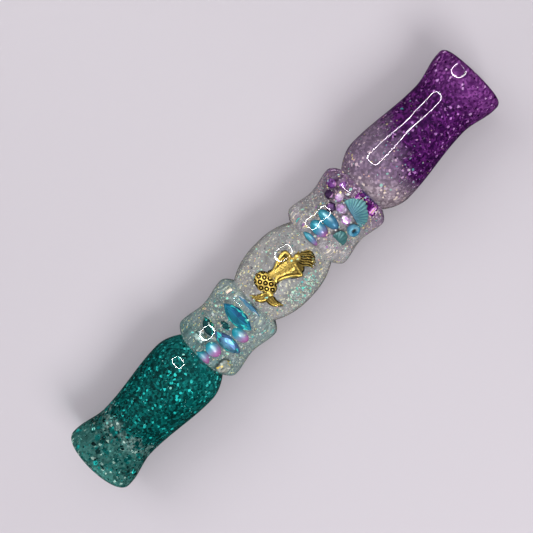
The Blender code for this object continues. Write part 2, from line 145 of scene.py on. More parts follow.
ROOM_COLOUR = (0.83, 0.80, 0.84)
ROOM_STRENGTH = 0.62
MIRRORED_ROOM_STRENGTH = 0.08  # what the polish mirrors is a dim room
WINDOW_SIDE = (0.1, 0.35, 0.93)  # the room is brightest in this direction
ROOM_SHARES = (0.35, 1.7)  # of its strength, away from the window and towards it
world = bpy.data.worlds.new("room")
world.use_nodes = True
bpy.context.scene.world = world
room = world.node_tree
background = room.nodes["Background"]
background.inputs["Color"].default_value = (*ROOM_COLOUR, 1)
ray = add_node(room, "LightPath")
mirrored = add_node(room, "Math", operation="SUBTRACT", use_clamp=True)
facing = add_node(room, "TexCoord")
towards = add_node(room, "VectorMath", {1: WINDOW_SIDE}, operation="DOT_PRODUCT")
lit = add_node(room, "Math", operation="MULTIPLY")
spread(towards, "Value", lit, 0, *ROOM_SHARES, start=0.1)
spread(mirrored, "Value", lit, 1, ROOM_STRENGTH, MIRRORED_ROOM_STRENGTH)
wire(
    (ray, "Is Glossy Ray", mirrored, 0), (ray, "Is Transmission Ray", mirrored, 1),
    (facing, "Generated", towards, 0), (lit, "Value", background, "Strength"),
)

# place, side in metres, power in watts
SOFT_BOXES = {
    "front_soft_box": ((-0.15, -0.70, 0.80), 0.5, 8.0),
    "back_fill": ((-0.10, 0.85, 0.75), 0.55, 3.5),
}
for name, (place, side, power) in SOFT_BOXES.items():
    lamp = bpy.data.lights.new(name, "AREA")
    lamp.size = side
    lamp.energy = power
    box = new_object(name, lamp)
    aim = Vector((0, 0, AXIS_HEIGHT)) - Vector(place)
    box.matrix_world = Matrix.Translation(place) @ aim.to_track_quat("-Z", "Y").to_matrix().to_4x4()
    box.visible_glossy = False


def fan_volume(points, faces):
    """Six times the volume under polygons with the same number of corners, each cut into a fan."""
    first = points[faces[:, 0]]
    middle, last = points[faces[:, 1:-1]], points[faces[:, 2:]]
    return np.einsum("ij,ikj->", first, np.cross(middle, last))


def outward(points, faces):
    """The face arrays of one closed surface, turned over together if they face inwards."""
    faces = [faces] if isinstance(faces, np.ndarray) else list(faces)
    if sum(fan_volume(points, part) for part in faces) < 0:
        faces = [part[:, ::-1] for part in faces]
    return faces


def put_mesh(name, points, faces, material, smooth=True, tint=None):
    """A mesh object from an array of points and arrays of polygons. tint gives each point, or each
    corner of each polygon, a colour, kept in the attribute of that name."""
    faces = [faces] if isinstance(faces, np.ndarray) else list(faces)
    corners = np.concatenate([part.ravel() for part in faces])
    counts = np.concatenate([np.full(len(part), part.shape[1]) for part in faces])
    mesh = bpy.data.meshes.new(name)
    mesh.vertices.add(len(points))
    mesh.vertices.foreach_set("co", np.ascontiguousarray(points, np.float32).ravel())
    mesh.loops.add(len(corners))
    mesh.loops.foreach_set("vertex_index", corners.astype(np.int32))
    mesh.polygons.add(len(counts))
    mesh.polygons.foreach_set("loop_start", (np.cumsum(counts) - counts).astype(np.int32))
    mesh.update(calc_edges=True)
    mesh.polygons.foreach_set("use_smooth", np.full(len(counts), smooth))
    if tint is not None:
        colours = np.ones((len(tint), 4), np.float32)
        colours[:, :3] = tint
        domain = "POINT" if len(tint) == len(points) else "CORNER"
        layer = mesh.color_attributes.new("tint", "FLOAT_COLOR", domain)
        layer.data.foreach_set("color", colours.ravel())
    mesh.materials.append(material)
    return new_object(name, mesh)


def grid_faces(rows, columns, close_rows=False):
    """Quads between the points of a grid stored row by row. Its columns always close on themselves."""
    i = np.arange(rows if close_rows else rows - 1)[:, None]
    j = np.arange(columns)[None, :]
    i_next, j_next = (i + 1) % rows, (j + 1) % columns
    corners = [i * columns + j, i * columns + j_next, i_next * columns + j_next, i_next * columns + j]
    return np.stack(corners, -1).reshape(-1, 4)


TABLE_REACH = 3.0
table_material, tree, shader = new_material("pale_table", {"Roughness": 0.7})
cloudy = textured(tree, "TexNoise", {"Scale": 3.0, "Detail": 2.0})
blend(cloudy, "Fac", shader, (0.53, 0.50, 0.535), (0.56, 0.53, 0.565))
table_corners = TABLE_REACH * np.array([[-1, -1, 0], [1, -1, 0], [1, 1, 0], [-1, 1, 0]])
table_top = put_mesh("table_top", table_corners, np.array([[0, 1, 2, 3]]), table_material)
table_top.visible_glossy = False

LAMP_LEAN = math.radians(37)  # from straight up towards +Y
LAMP_DISTANCE = 0.42
LAMP_MIDDLE_X = 0.1185
LAMP_REACH = (0.1065, 0.150)  # half its size along the call and across it
LAMP_SQUARENESS = 2.8  # exponent of its outline: 2 is an ellipse, more is squarer
LAMP_ROD = 0.009
LAMP_STEPS, LAMP_SIDES = 96, 6


def hoop(path, radius, sides):
    """Points and quads of a round rod along a closed path in the plane z = 0: at each point the
    rod's circle stands across the path."""
    along = np.roll(path, -1, 0) - np.roll(path, 1, 0)
    along /= np.linalg.norm(along, axis=1, keepdims=True)
    level = np.cross(along, (0, 0, 1))
    turn = np.linspace(0, math.tau, sides, endpoint=False)[None, :, None]
    circle = np.cos(turn) * level[:, None] + np.sin(turn) * np.array([0, 0, 1])
    points = (path[:, None] + radius * circle).reshape(-1, 3)
    return points, outward(points, grid_faces(len(path), sides, close_rows=True))


lamp_material = new_material("lamp_frame", {
    "Base Color": (0, 0, 0, 1), "Emission Color": (1, 1, 1, 1), "Emission Strength": 26.0,
})[0]
lamp_turn = np.linspace(0, math.tau, LAMP_STEPS, endpoint=False)
lamp_wave = np.stack([np.cos(lamp_turn), np.sin(lamp_turn)], -1)
lamp_stretch = (np.abs(lamp_wave) ** LAMP_SQUARENESS).sum(1, keepdims=True) ** (-1 / LAMP_SQUARENESS)
lamp_path = np.zeros((LAMP_STEPS, 3))
lamp_path[:, :2] = lamp_wave * lamp_stretch * LAMP_REACH
lamp_points, lamp_faces = hoop(lamp_path, LAMP_ROD, LAMP_SIDES)
lamp_points = (lamp_points + (0, 0, LAMP_DISTANCE)) @ np.array(Matrix.Rotation(-LAMP_LEAN, 3, "X")).T
lamp_points += (LAMP_MIDDLE_X, 0, AXIS_HEIGHT)
lamp_frame = put_mesh("lamp_frame", lamp_points, lamp_faces, lamp_material)
lamp_frame.visible_camera = False
lamp_frame.visible_shadow = False
lamp_frame.visible_diffuse = False

# ---------------------------------------------------------------------------------------------
# The bulb in the middle of the barrel: one casting of clear resin round a cloudy filling, with
# fine flakes stirred in, turned to an egg shape, bored through and polished. A short spigot at
# each end is glued into a collar.

BORE_RADIUS = 7.94 * MM
JOINT_RADIUS = 11.7 * MM
JOINT_GAP = 0.05 * MM
SPIGOT_LENGTH = 3.0 * MM
SPIGOT_RADIUS = 9.9 * MM
BULB_RADIUS = 15.7 * MM
BULB_FULLNESS = 2.4
BULB_LOW, BULB_HIGH = (end.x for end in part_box("barrel_bulb"))
BULB_MIDDLE = (BULB_LOW + BULB_HIGH) / 2
BULB_HALF = (BULB_HIGH - BULB_LOW) / 2 - SPIGOT_LENGTH - JOINT_GAP
BULB_END = BULB_HALF + JOINT_GAP + SPIGOT_LENGTH


def about_axis(x, radius, turn):
    """Points at x, at a radius from the call's axis, turned about it from the top towards +Y."""
    across, height = radius * np.sin(turn), AXIS_HEIGHT + radius * np.cos(turn)
    return np.stack([np.broadcast_to(x, across.shape), across, height], -1).reshape(-1, 3)


def lathe(outline, around=144):
    """Points and quads of a closed outline of (x, radius) turned about the call's axis."""
    outline = np.asarray(outline, float)
    turn = np.linspace(0, math.tau, around, endpoint=False)
    points = about_axis(outline[:, :1], outline[:, 1:], turn)
    return points, outward(points, grid_faces(len(outline), around, close_rows=True))


def softened(outline, reach=0.25 * MM, steps=4):
    """A closed outline whose sharp corners become short curves: each is the quadratic curve that
    starts and ends at the given reach from the corner, or at a third of a shorter side."""
    outline = np.asarray(outline, float)
    before, after = np.roll(outline, 1, 0) - outline, np.roll(outline, -1, 0) - outline
    length_before = np.linalg.norm(before, axis=1, keepdims=True)
    length_after = np.linalg.norm(after, axis=1, keepdims=True)
    bend = (before * after).sum(1) / (length_before * length_after)[:, 0]
    start = outline + before / length_before * np.minimum(reach, length_before / 3)
    end = outline + after / length_after * np.minimum(reach, length_after / 3)
    t = np.linspace(0, 1, steps)[:, None, None]
    curve = ((1 - t) ** 2 * start + 2 * t * (1 - t) * outline + t**2 * end).transpose(1, 0, 2)
    sharp = bend > -0.9
    curve[~sharp, 0] = outline[~sharp]
    keep = np.ones((len(outline), steps), bool)
    keep[~sharp, 1:] = False
    return curve[keep]


def bulb_radius(x):
    """The bulb's outline: full in the middle, falling by a power of the distance from it."""
    share = np.clip(np.abs(x - BULB_MIDDLE) / BULB_HALF, 0, 1)
    return BULB_RADIUS - (BULB_RADIUS - JOINT_RADIUS) * share**BULB_FULLNESS


def dent(source, output, shader, strength, depth):
    """Dents a surface by a texture's value."""
    bump = add_node(shader.id_data, "Bump", {"Strength": strength, "Distance": depth})
    wire((source, output, bump, "Height"), (bump, "Normal", shader, "Normal"))


SHADOW_CLEARNESS = 0.96  # of the lamps' light passes each resin surface


def clear_resin(name, tint):
    """Polished resin: clear glass that lets the lamps through to what is cast in it, with the
    faint rings left by the lathe and a polish that is a little uneven."""
    glass = {"Base Color": (*tint, 1), "Transmission Weight": 1.0, "IOR": 1.5}
    material, tree, shader = new_material(name, glass)
    uneven = textured(tree, "TexNoise", {"Scale": 180.0, "Detail": 3.0})
    spread(uneven, "Fac", shader, "Roughness", 0.0, 0.03)
    rings = textured(tree, "TexNoise", {"Scale": 2600.0, "Detail": 1.0}, stretch=(1.0, 0.03, 0.03))
    dent(rings, "Fac", shader, 0.01, 0.2 * MM)
    path = add_node(tree, "LightPath")
    passed = (*(SHADOW_CLEARNESS * np.array(tint)), 1)
    clear = add_node(tree, "BsdfTransparent", {"Color": passed})
    either = add_node(tree, "MixShader")
    wire(
        (path, "Is Shadow Ray", either, "Fac"), (shader, "BSDF", either, 1), (clear, "BSDF", either, 2),
        (either, "Shader", tree.nodes["Material Output"], "Surface"),
    )
    return material


def make_flake_bed():
    """Node group: a bed of small flat flakes packed at all angles. Each flake takes a tone between
    Deep and Bright, a share of them take the Glint colour, and each leans its own way."""
    group = bpy.data.node_groups.new("flake_bed", "ShaderNodeTree")
    for name in ("Scale", "Lean", "Glints"):
        group.interface.new_socket(name, in_out="INPUT", socket_type="NodeSocketFloat")
    for name in ("Deep", "Bright", "Glint"):
        group.interface.new_socket(name, in_out="INPUT", socket_type="NodeSocketColor")
    group.interface.new_socket("Color", in_out="OUTPUT", socket_type="NodeSocketColor")
    group.interface.new_socket("Normal", in_out="OUTPUT", socket_type="NodeSocketVector")
    given, made = group.nodes.new("NodeGroupInput"), group.nodes.new("NodeGroupOutput")
    cells = textured(group, "TexVoronoi", {"Randomness": 1.0})
    parts = add_node(group, "SeparateColor")
    tone = add_node(group, "Math", {1: 2.2}, operation="POWER")
    body = add_node(group, "Mix", data_type="RGBA")
    few = add_node(group, "Math", operation="LESS_THAN")
    lit = add_node(group, "Mix", data_type="RGBA")
    wire(
        (given, "Scale", cells, "Scale"), (cells, "Color", parts, "Color"),
        (parts, "Red", tone, 0), (tone, "Value", body, "Factor"),
        (given, "Deep", body, "A"), (given, "Bright", body, "B"),
        (parts, "Green", few, 0), (given, "Glints", few, 1), (few, "Value", lit, "Factor"),
        (body, "Result", lit, "A"), (given, "Glint", lit, "B"), (lit, "Result", made, "Color"),
    )
    shape = add_node(group, "NewGeometry")
    centred = add_node(group, "VectorMath", {1: (0.5, 0.5, 0.5)}, operation="SUBTRACT")
    leant = add_node(group, "VectorMath", operation="SCALE")
    summed = add_node(group, "VectorMath", operation="ADD")
    unit = add_node(group, "VectorMath", operation="NORMALIZE")
    wire(
        (cells, "Color", centred, 0), (centred, "Vector", leant, 0), (given, "Lean", leant, "Scale"),
        (leant, "Vector", summed, 0), (shape, "Normal", summed, 1), (summed, "Vector", unit, 0),
        (unit, "Vector", made, "Normal"),
    )
    return group


flake_bed = make_flake_bed()


def filling(name, scale, colours, glints=0.04, lean=0.8, fades=()):
    """The filling that shows through clear resin: a flake bed of deep, bright and glinting flakes,
    darker and paler in clouds. Each fade is (three colours, direction, distance along it where it
    starts, where it is full, how far it is frayed), and turns the bed to those colours."""
    material, tree, shader = new_material(name, {"Roughness": 0.4, "Specular IOR Level": 0.0})

    def laid_bed(three):
        values = {"Scale": scale, "Lean": lean, "Glints": glints}
        values.update(zip(("Deep", "Bright", "Glint"), ((*colour, 1) for colour in three)))
        return add_node(tree, "Group", values, node_tree=flake_bed)

    last, output = laid_bed(colours), "Color"
    wire((last, "Normal", shader, "Normal"))
    for end_colours, direction, start, full, fray in fades:
        coordinates = add_node(tree, "TexCoord")
        along = add_node(tree, "VectorMath", {1: direction}, operation="DOT_PRODUCT")
        patches = textured(tree, "TexNoise", {"Scale": 230.0, "Detail": 3.0})
        frayed = add_node(tree, "Math", {1: fray}, operation="MULTIPLY_ADD")
        faded = add_node(tree, "Mix", data_type="RGBA")
        spread(frayed, "Value", faded, "Factor", 0.0, 1.0, start + fray / 2, full + fray / 2)
        wire(
            (coordinates, "Object", along, 0),
            (patches, "Fac", frayed, 0), (along, "Value", frayed, 2),
            (last, output, faded, "A"), (laid_bed(end_colours), "Color", faded, "B"),
        )
        last, output = faded, "Result"
    cloud = textured(tree, "TexNoise", {"Scale": 160.0, "Detail": 4.0, "Roughness": 0.6})
    clouded = add_node(tree, "VectorMath", operation="SCALE")
    spread(cloud, "Fac", clouded, "Scale", 0.72, 1.2, 0.3, 0.7)
    wire((last, output, clouded, 0), (clouded, "Vector", shader, "Base Color"))
    return material


def tinted(name, metallic, roughness, grain=4000.0, specular=0.0):
    """A finish whose colour is in the piece's tint attribute, with a fine grain in its polish. What
    is cast in resin has little bright surface of its own beyond its metal, so specular is low."""
    values = {"Metallic": metallic, "Specular IOR Level": specular}
    material, tree, shader = new_material(name, values)
    tint = add_node(tree, "Attribute", attribute_name="tint")
    uneven = textured(tree, "TexNoise", {"Scale": grain, "Detail": 1.0})
    spread(uneven, "Fac", shader, "Roughness", roughness * 0.6, roughness * 1.6)
    wire((tint, "Color", shader, "Base Color"))
    return material


def flakes(name, rng, centres, sizes, tints, material, sides=4, thickness=0.12, spread=0.7):
    """A cloud of thin flat prisms. Each faces away from the call's axis, leant by a random amount,
    and has its own size and tint. Each is closed: two caps and a band of sides."""
    count = len(centres)
    facing = (centres - (0, 0, AXIS_HEIGHT)) * (0, 1, 1)
    facing /= np.linalg.norm(facing, axis=1, keepdims=True)
    facing += spread * rng.normal(size=(count, 3))
    facing /= np.linalg.norm(facing, axis=1, keepdims=True)
    side = np.cross(facing, rng.normal(size=(count, 3)))
    side /= np.linalg.norm(side, axis=1, keepdims=True)
    other = np.cross(facing, side)
    turn = np.linspace(0, math.tau, sides, endpoint=False)[None, :, None]
    rim = np.cos(turn) * side[:, None] + np.sin(turn) * other[:, None]
    lift = thickness / 2 * facing[:, None]
    size = np.asarray(sizes).reshape(-1, 1, 1)
    points = np.concatenate([rim - lift, rim + lift], axis=1) * size + centres[:, None]
    tip, here = np.arange(1, sides - 1), np.arange(sides)
    after = (here + 1) % sides
    one = np.concatenate([
        np.stack([0 * tip, tip + 1, tip], -1), np.stack([0 * tip, tip, tip + 1], -1) + sides,
        np.stack([here, after, after + sides], -1), np.stack([here, after + sides, here + sides], -1),
    ])
    faces = (one[None] + (np.arange(count) * 2 * sides)[:, None, None]).reshape(-1, 3)
    tint = np.repeat(tints, 2 * sides, 0)
    return put_mesh(name, points.reshape(-1, 3), faces, material, False, tint)


CORE_WALL = 0.35 * MM  # clear resin between the filling and the bore or a spigot's side
FLAKE_SKIN = 0.35 * MM  # no flake lies nearer the polished surface than this
HAZE_DEPTH = 1.1 * MM  # clear resin over the full filling
CHARM_WINDOW = (50, 72)  # degrees from the top between which the filling rises beside the charm


def layer_rise(turn, window):
    """0 under the window at the call's top and 1 outside it. Between its two angles, t of the way
    from the first to the second, it is t squared times three less twice t."""
    t = np.clip((np.abs(np.degrees(turn)) - window[0]) / (window[1] - window[0]), 0, 1)
    return t * t * (3 - 2 * t)


def scatter(rng, count, ends, inner, outer, window=None):
    """Random places in a turned layer: even over x between two ends, round the axis, and from
    the inner radius to the outer, which are functions of x. Where the filling has a window, the
    layer outside it is only as deep as the clear resin there."""
    x = rng.uniform(*ends, count)
    turn = rng.uniform(-math.pi, math.pi, count)
    low, high = inner(x), outer(x)
    if window is not None:
        low = low + (high - HAZE_DEPTH - low) * layer_rise(turn, window)
    return about_axis(x, low + rng.uniform(0, 1, count) * (high - low), turn)


def pick_tints(rng, count, colours, shares):
    """Each flake's colour: one of a few, made up to a third darker or a little lighter."""
    picked = rng.choice(len(colours), count, p=np.array(shares) / np.sum(shares))
    return np.clip(np.array(colours)[picked] * rng.uniform(0.7, 1.15, (count, 1)), 0, 1)


def clear_of(places, nodes, keep, rng):
    """Drops all but a share of the flakes that lie over the given nodes as seen from the top."""
    shown = np.ones(len(places), bool)
    for node in nodes:
        low, high = (np.array(corner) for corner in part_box(node))
        middle, reach = (low + high) / 2, (high - low) / 2
        off = (places[:, :2] - middle[:2]) / reach[:2]
        over = ((off**2).sum(1) < 1) & (places[:, 2] > low[2])
        shown &= ~over | (rng.uniform(size=len(places)) < keep)
    return places[shown]


def windowed_core(x, low, high, inner, window, around=180):
    """Points and quads of a filling round a bore: at each x its radius is low under the window at
    the call's top, where things are laid in, and rises smoothly to high outside it. inner is the
    radius of its hole at the first x and at the last."""
    turn = np.linspace(-math.pi, math.pi, around, endpoint=False)
    rise = layer_rise(turn, window)
    radius = np.asarray(low)[:, None] + (np.asarray(high) - np.asarray(low))[:, None] * rise
    radius = np.concatenate([radius, np.full((1, around), inner[1]), np.full((1, around), inner[0])])
    x = np.concatenate([x, [x[-1], x[0]]])
    points = about_axis(x[:, None], radius, turn)
    return points, outward(points, grid_faces(len(x), around, close_rows=True))


bulb_x = np.linspace(BULB_MIDDLE - BULB_HALF, BULB_MIDDLE + BULB_HALF, 72)
bulb_outline = np.concatenate([
    np.stack([bulb_x, bulb_radius(bulb_x)], -1),
    [
        (BULB_MIDDLE + BULB_HALF, SPIGOT_RADIUS), (BULB_MIDDLE + BULB_END, SPIGOT_RADIUS),
        (BULB_MIDDLE + BULB_END, BORE_RADIUS), (BULB_MIDDLE - BULB_END, BORE_RADIUS),
        (BULB_MIDDLE - BULB_END, SPIGOT_RADIUS), (BULB_MIDDLE - BULB_HALF, SPIGOT_RADIUS),
    ],
])
bulb_resin = clear_resin("bulb_resin", (0.98, 0.98, 0.97))
bulb_glass = put_mesh("barrel_bulb_resin", *lathe(softened(bulb_outline)), bulb_resin)
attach(bulb_glass, "barrel")
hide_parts("barrel_bulb")

BULB_CORE_RADIUS = 10.2 * MM
BULB_CORE_SPIGOT = 9.4 * MM


def bulb_core_radius(x):
    return np.minimum(BULB_CORE_RADIUS, bulb_radius(x) - HAZE_DEPTH)


core_end = BULB_END - CORE_WALL
core_x = np.linspace(BULB_MIDDLE - BULB_HALF, BULB_MIDDLE + BULB_HALF, 60)
spigots = np.full(2, BULB_CORE_SPIGOT)
milky_filling = filling(
    "milky_filling", 1700.0, ((0.23, 0.228, 0.238), (0.35, 0.35, 0.348), (0.62, 0.60, 0.46)),
    glints=0.06, lean=0.6,
)
bulb_core = put_mesh("barrel_bulb_filling", *windowed_core(
    np.concatenate([
        [BULB_MIDDLE - core_end, BULB_MIDDLE - BULB_HALF], core_x,
        [BULB_MIDDLE + BULB_HALF, BULB_MIDDLE + core_end],
    ]),
    np.concatenate([spigots, bulb_core_radius(core_x), spigots]),
    np.concatenate([spigots, bulb_radius(core_x) - HAZE_DEPTH, spigots]),
    (BORE_RADIUS + CORE_WALL, BORE_RADIUS + CORE_WALL), CHARM_WINDOW,
), milky_filling)
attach(bulb_core, "barrel")

# How many flakes are stirred in, how far they stay from the bulb's ends, and the share of those
# over the charm that are left.
BULB_FLAKES, BULB_FLAKE_END, OVER_CHARM = 2500, 0.5 * MM, 0.12
PEARLESCENT = (
    (0.95, 0.84, 0.34), (0.45, 0.90, 0.72), (0.95, 0.62, 0.50), (0.72, 0.72, 0.70), (0.17, 0.16, 0.19),
    (0.10, 0.62, 0.58),
)
PEARLESCENT_SHARES = (1.7, 1.4, 0.9, 2.6, 1.6, 0.5)
SMALLEST_FLAKE = 0.09 * MM
FLAKE_GROWTH = 0.08  # scale in millimetres of the gamma draw that is added to the smallest radius


def bulb_skin(x):
    return bulb_radius(x) - FLAKE_SKIN


rng = np.random.default_rng(11)
pearl_foil = tinted("pearlescent_flakes", 0.3, 0.22)
bulb_places = scatter(
    rng, BULB_FLAKES,
    (BULB_MIDDLE - BULB_HALF + BULB_FLAKE_END, BULB_MIDDLE + BULB_HALF - BULB_FLAKE_END),
    bulb_core_radius, bulb_skin, CHARM_WINDOW,
)
bulb_places = clear_of(bulb_places, ["mermaid_charm"], OVER_CHARM, rng)
bulb_sizes = rng.gamma(2.0, FLAKE_GROWTH, len(bulb_places)) * MM + SMALLEST_FLAKE
bulb_tints = pick_tints(rng, len(bulb_places), PEARLESCENT, PEARLESCENT_SHARES)
bulb_flakes = flakes("bulb_flakes", rng, bulb_places, bulb_sizes, bulb_tints, pearl_foil)
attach(bulb_flakes, "barrel")

# A drift of green and cyan flakes below the charm: how many are strewn, and the part of the bulb
# in which they are kept.
DRIFT_FLAKES, SMALLEST_DRIFT = 3200, 0.12 * MM
DRIFT_LENGTH, DRIFT_ACROSS = (-6.0 * MM, 8.0 * MM), (-13.5 * MM, -7.5 * MM)
MINTS = ((0.16, 0.90, 0.72), (0.10, 0.66, 0.68), (0.62, 0.96, 0.78), (0.95, 0.95, 0.86))
MINT_SHARES = (2, 1.5, 2, 2.5)
drift_ends = np.array(DRIFT_LENGTH) + BULB_MIDDLE
drift_places = scatter(rng, DRIFT_FLAKES, drift_ends, bulb_core_radius, bulb_skin, CHARM_WINDOW)
over_drift = (drift_places[:, 1] > DRIFT_ACROSS[0]) & (drift_places[:, 1] < DRIFT_ACROSS[1])
drift_places = drift_places[over_drift & (drift_places[:, 2] > AXIS_HEIGHT)]
drift_sizes = rng.gamma(2.0, FLAKE_GROWTH, len(drift_places)) * MM + SMALLEST_DRIFT
drift_tints = pick_tints(rng, len(drift_places), MINTS, MINT_SHARES)
drift_flakes = flakes("bulb_mint_flakes", rng, drift_places, drift_sizes, drift_tints, pearl_foil)
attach(drift_flakes, "barrel")

# ---------------------------------------------------------------------------------------------
# The charm in the bulb: a mermaid cast in brass and antiqued, so that its recesses stay dark.
# Her tail fin has two grooved lobes, her hips carry lozenge scales, her hands rest on her hips,
# and her hair streams out in strands.

CHARM_TOP = 11.2 * MM  # radius of its face where it crosses the call's middle
CHARM_THICKNESS = 1.7 * MM
CHARM_BEND = 24.0 * MM  # radius it is bent to across the call
PATINA, BRIGHT_BRASS = np.array((0.020, 0.012, 0.003)), np.array((0.93, 0.67, 0.16))
WORN_START, WORN_SPAN, WORN_POWER = 0.15, 0.8, 1.35  # how the patina gives way to bright brass


def smooth_line(marks, count):
    """A curve through marked points: between two marks it is the Catmull-Rom cubic of the four
    marks round them, with the end marks repeated."""
    marks = np.asarray(marks, float)
    padded = np.concatenate([marks[:1], marks, marks[-1:]])
    at = np.linspace(0, len(marks) - 1, count)
    k = np.minimum(at.astype(int), len(marks) - 2)
    t = (at - k)[:, None]
    a, b, c, d = padded[k], padded[k + 1], padded[k + 2], padded[k + 3]
    return b + 0.5 * t * (c - a + t * (2 * a - 5 * b + 4 * c - d + t * (3 * (b - c) + d - a)))


def end_caps(rows, sides):
    """The polygons that close the first ring and the last of a grid whose rows are rings."""
    ring = np.arange(sides)
    return [ring[None, ::-1], (rows - 1) * sides + ring[None, :]]


def strand(marks, grooves=0, depth=0.45, floor=-1.6, steps=28, sides=26, wear=1.0):
    """A flattened rod lying in the plane, from marks of (x, y, half width, height of its top).
    Across it, its top follows the root of a sine, cut by a cosine wave for each groove, and its
    back is flat at the floor. Returns its points, faces and how worn each point is, from 0 in the
    recesses to 1 on the crests. All in millimetres."""
    line = smooth_line(marks, steps)
    path, half, top = line[:, :2], np.maximum(line[:, 2], 0.03), line[:, 3]
    along = np.gradient(path, axis=0)
    along /= np.linalg.norm(along, axis=1, keepdims=True)
    level = np.stack([-along[:, 1], along[:, 0]], -1)
    turn = np.linspace(0, math.tau, sides, endpoint=False)
    across, rise = np.cos(turn), np.sin(turn)
    ridge = 0.5 + 0.5 * np.cos(math.tau * grooves * (across + 1) / 2) if grooves else np.ones(sides)
    crown = np.where(rise > 0, np.sqrt(np.abs(rise)) * (1 - depth * (1 - ridge)), -0.02)
    flat = path[:, None] + across[None, :, None] * half[:, None, None] * level[:, None]
    height = floor + crown[None, :] * (top - floor)[:, None]
    points = np.concatenate([flat, height[..., None]], -1).reshape(-1, 3)
    worn = np.where(rise > 0, np.abs(rise) ** 0.8, 0) * (ridge if grooves else 1)
    worn = np.clip(worn, 0, 1) * wear
    faces = outward(points, [grid_faces(steps, sides), *end_caps(steps, sides)])
    return points, faces, np.tile(worn, steps)


def scaled_hip(middle, reach, top, floor=-1.6, rings=52, sides=150, pitch=2.5, row=1.75):
    """The round hip: a dome over an ellipse, its height the root of one less a power of the distance.
    Ring scales stand on it in staggered rows. With d the distance to the nearest scale's middle, a
    bright boss fills d under 0.4 mm, a dark ring runs to 0.8 mm, and a bright net lies outside."""
    share = np.linspace(1, 0.01, rings)[:, None]
    turn = np.linspace(0, math.tau, sides, endpoint=False)[None, :]
    x = middle[0] + reach[0] * share * np.cos(turn)
    y = middle[1] + reach[1] * share * np.sin(turn)
    u, v = (x - middle[0]) / pitch, (y - middle[1]) / (2 * row)
    straight = np.hypot((u - np.round(u)) * pitch, (v - np.round(v)) * 2 * row)
    u, v = u + 0.5, v + 0.5
    staggered = np.hypot((u - np.round(u)) * pitch, (v - np.round(v)) * 2 * row)
    out = np.minimum(straight, staggered)
    boss, net = np.clip((0.44 - out) / 0.12, 0, 1), np.clip((out - 0.82) / 0.14, 0, 1)
    raised = np.maximum(boss, net)
    worn = raised * np.clip((1 - share) * 9, 0.25, 1)
    dome = floor + (top - floor) * np.sqrt(np.clip(1 - share**2.6, 0, 1))
    z = dome - 0.42 * (1 - raised) * np.clip((1 - share) * 5, 0, 1)
    points = np.stack([x, y, z], -1).reshape(-1, 3)
    back = points[:sides] * (1, 1, 0) + (0, 0, floor - 0.02)
    points = np.concatenate([back, points])
    faces = outward(points, [grid_faces(rings + 1, sides), *end_caps(rings + 1, sides)])
    return points, faces, np.concatenate([np.zeros(sides), worn.ravel()])


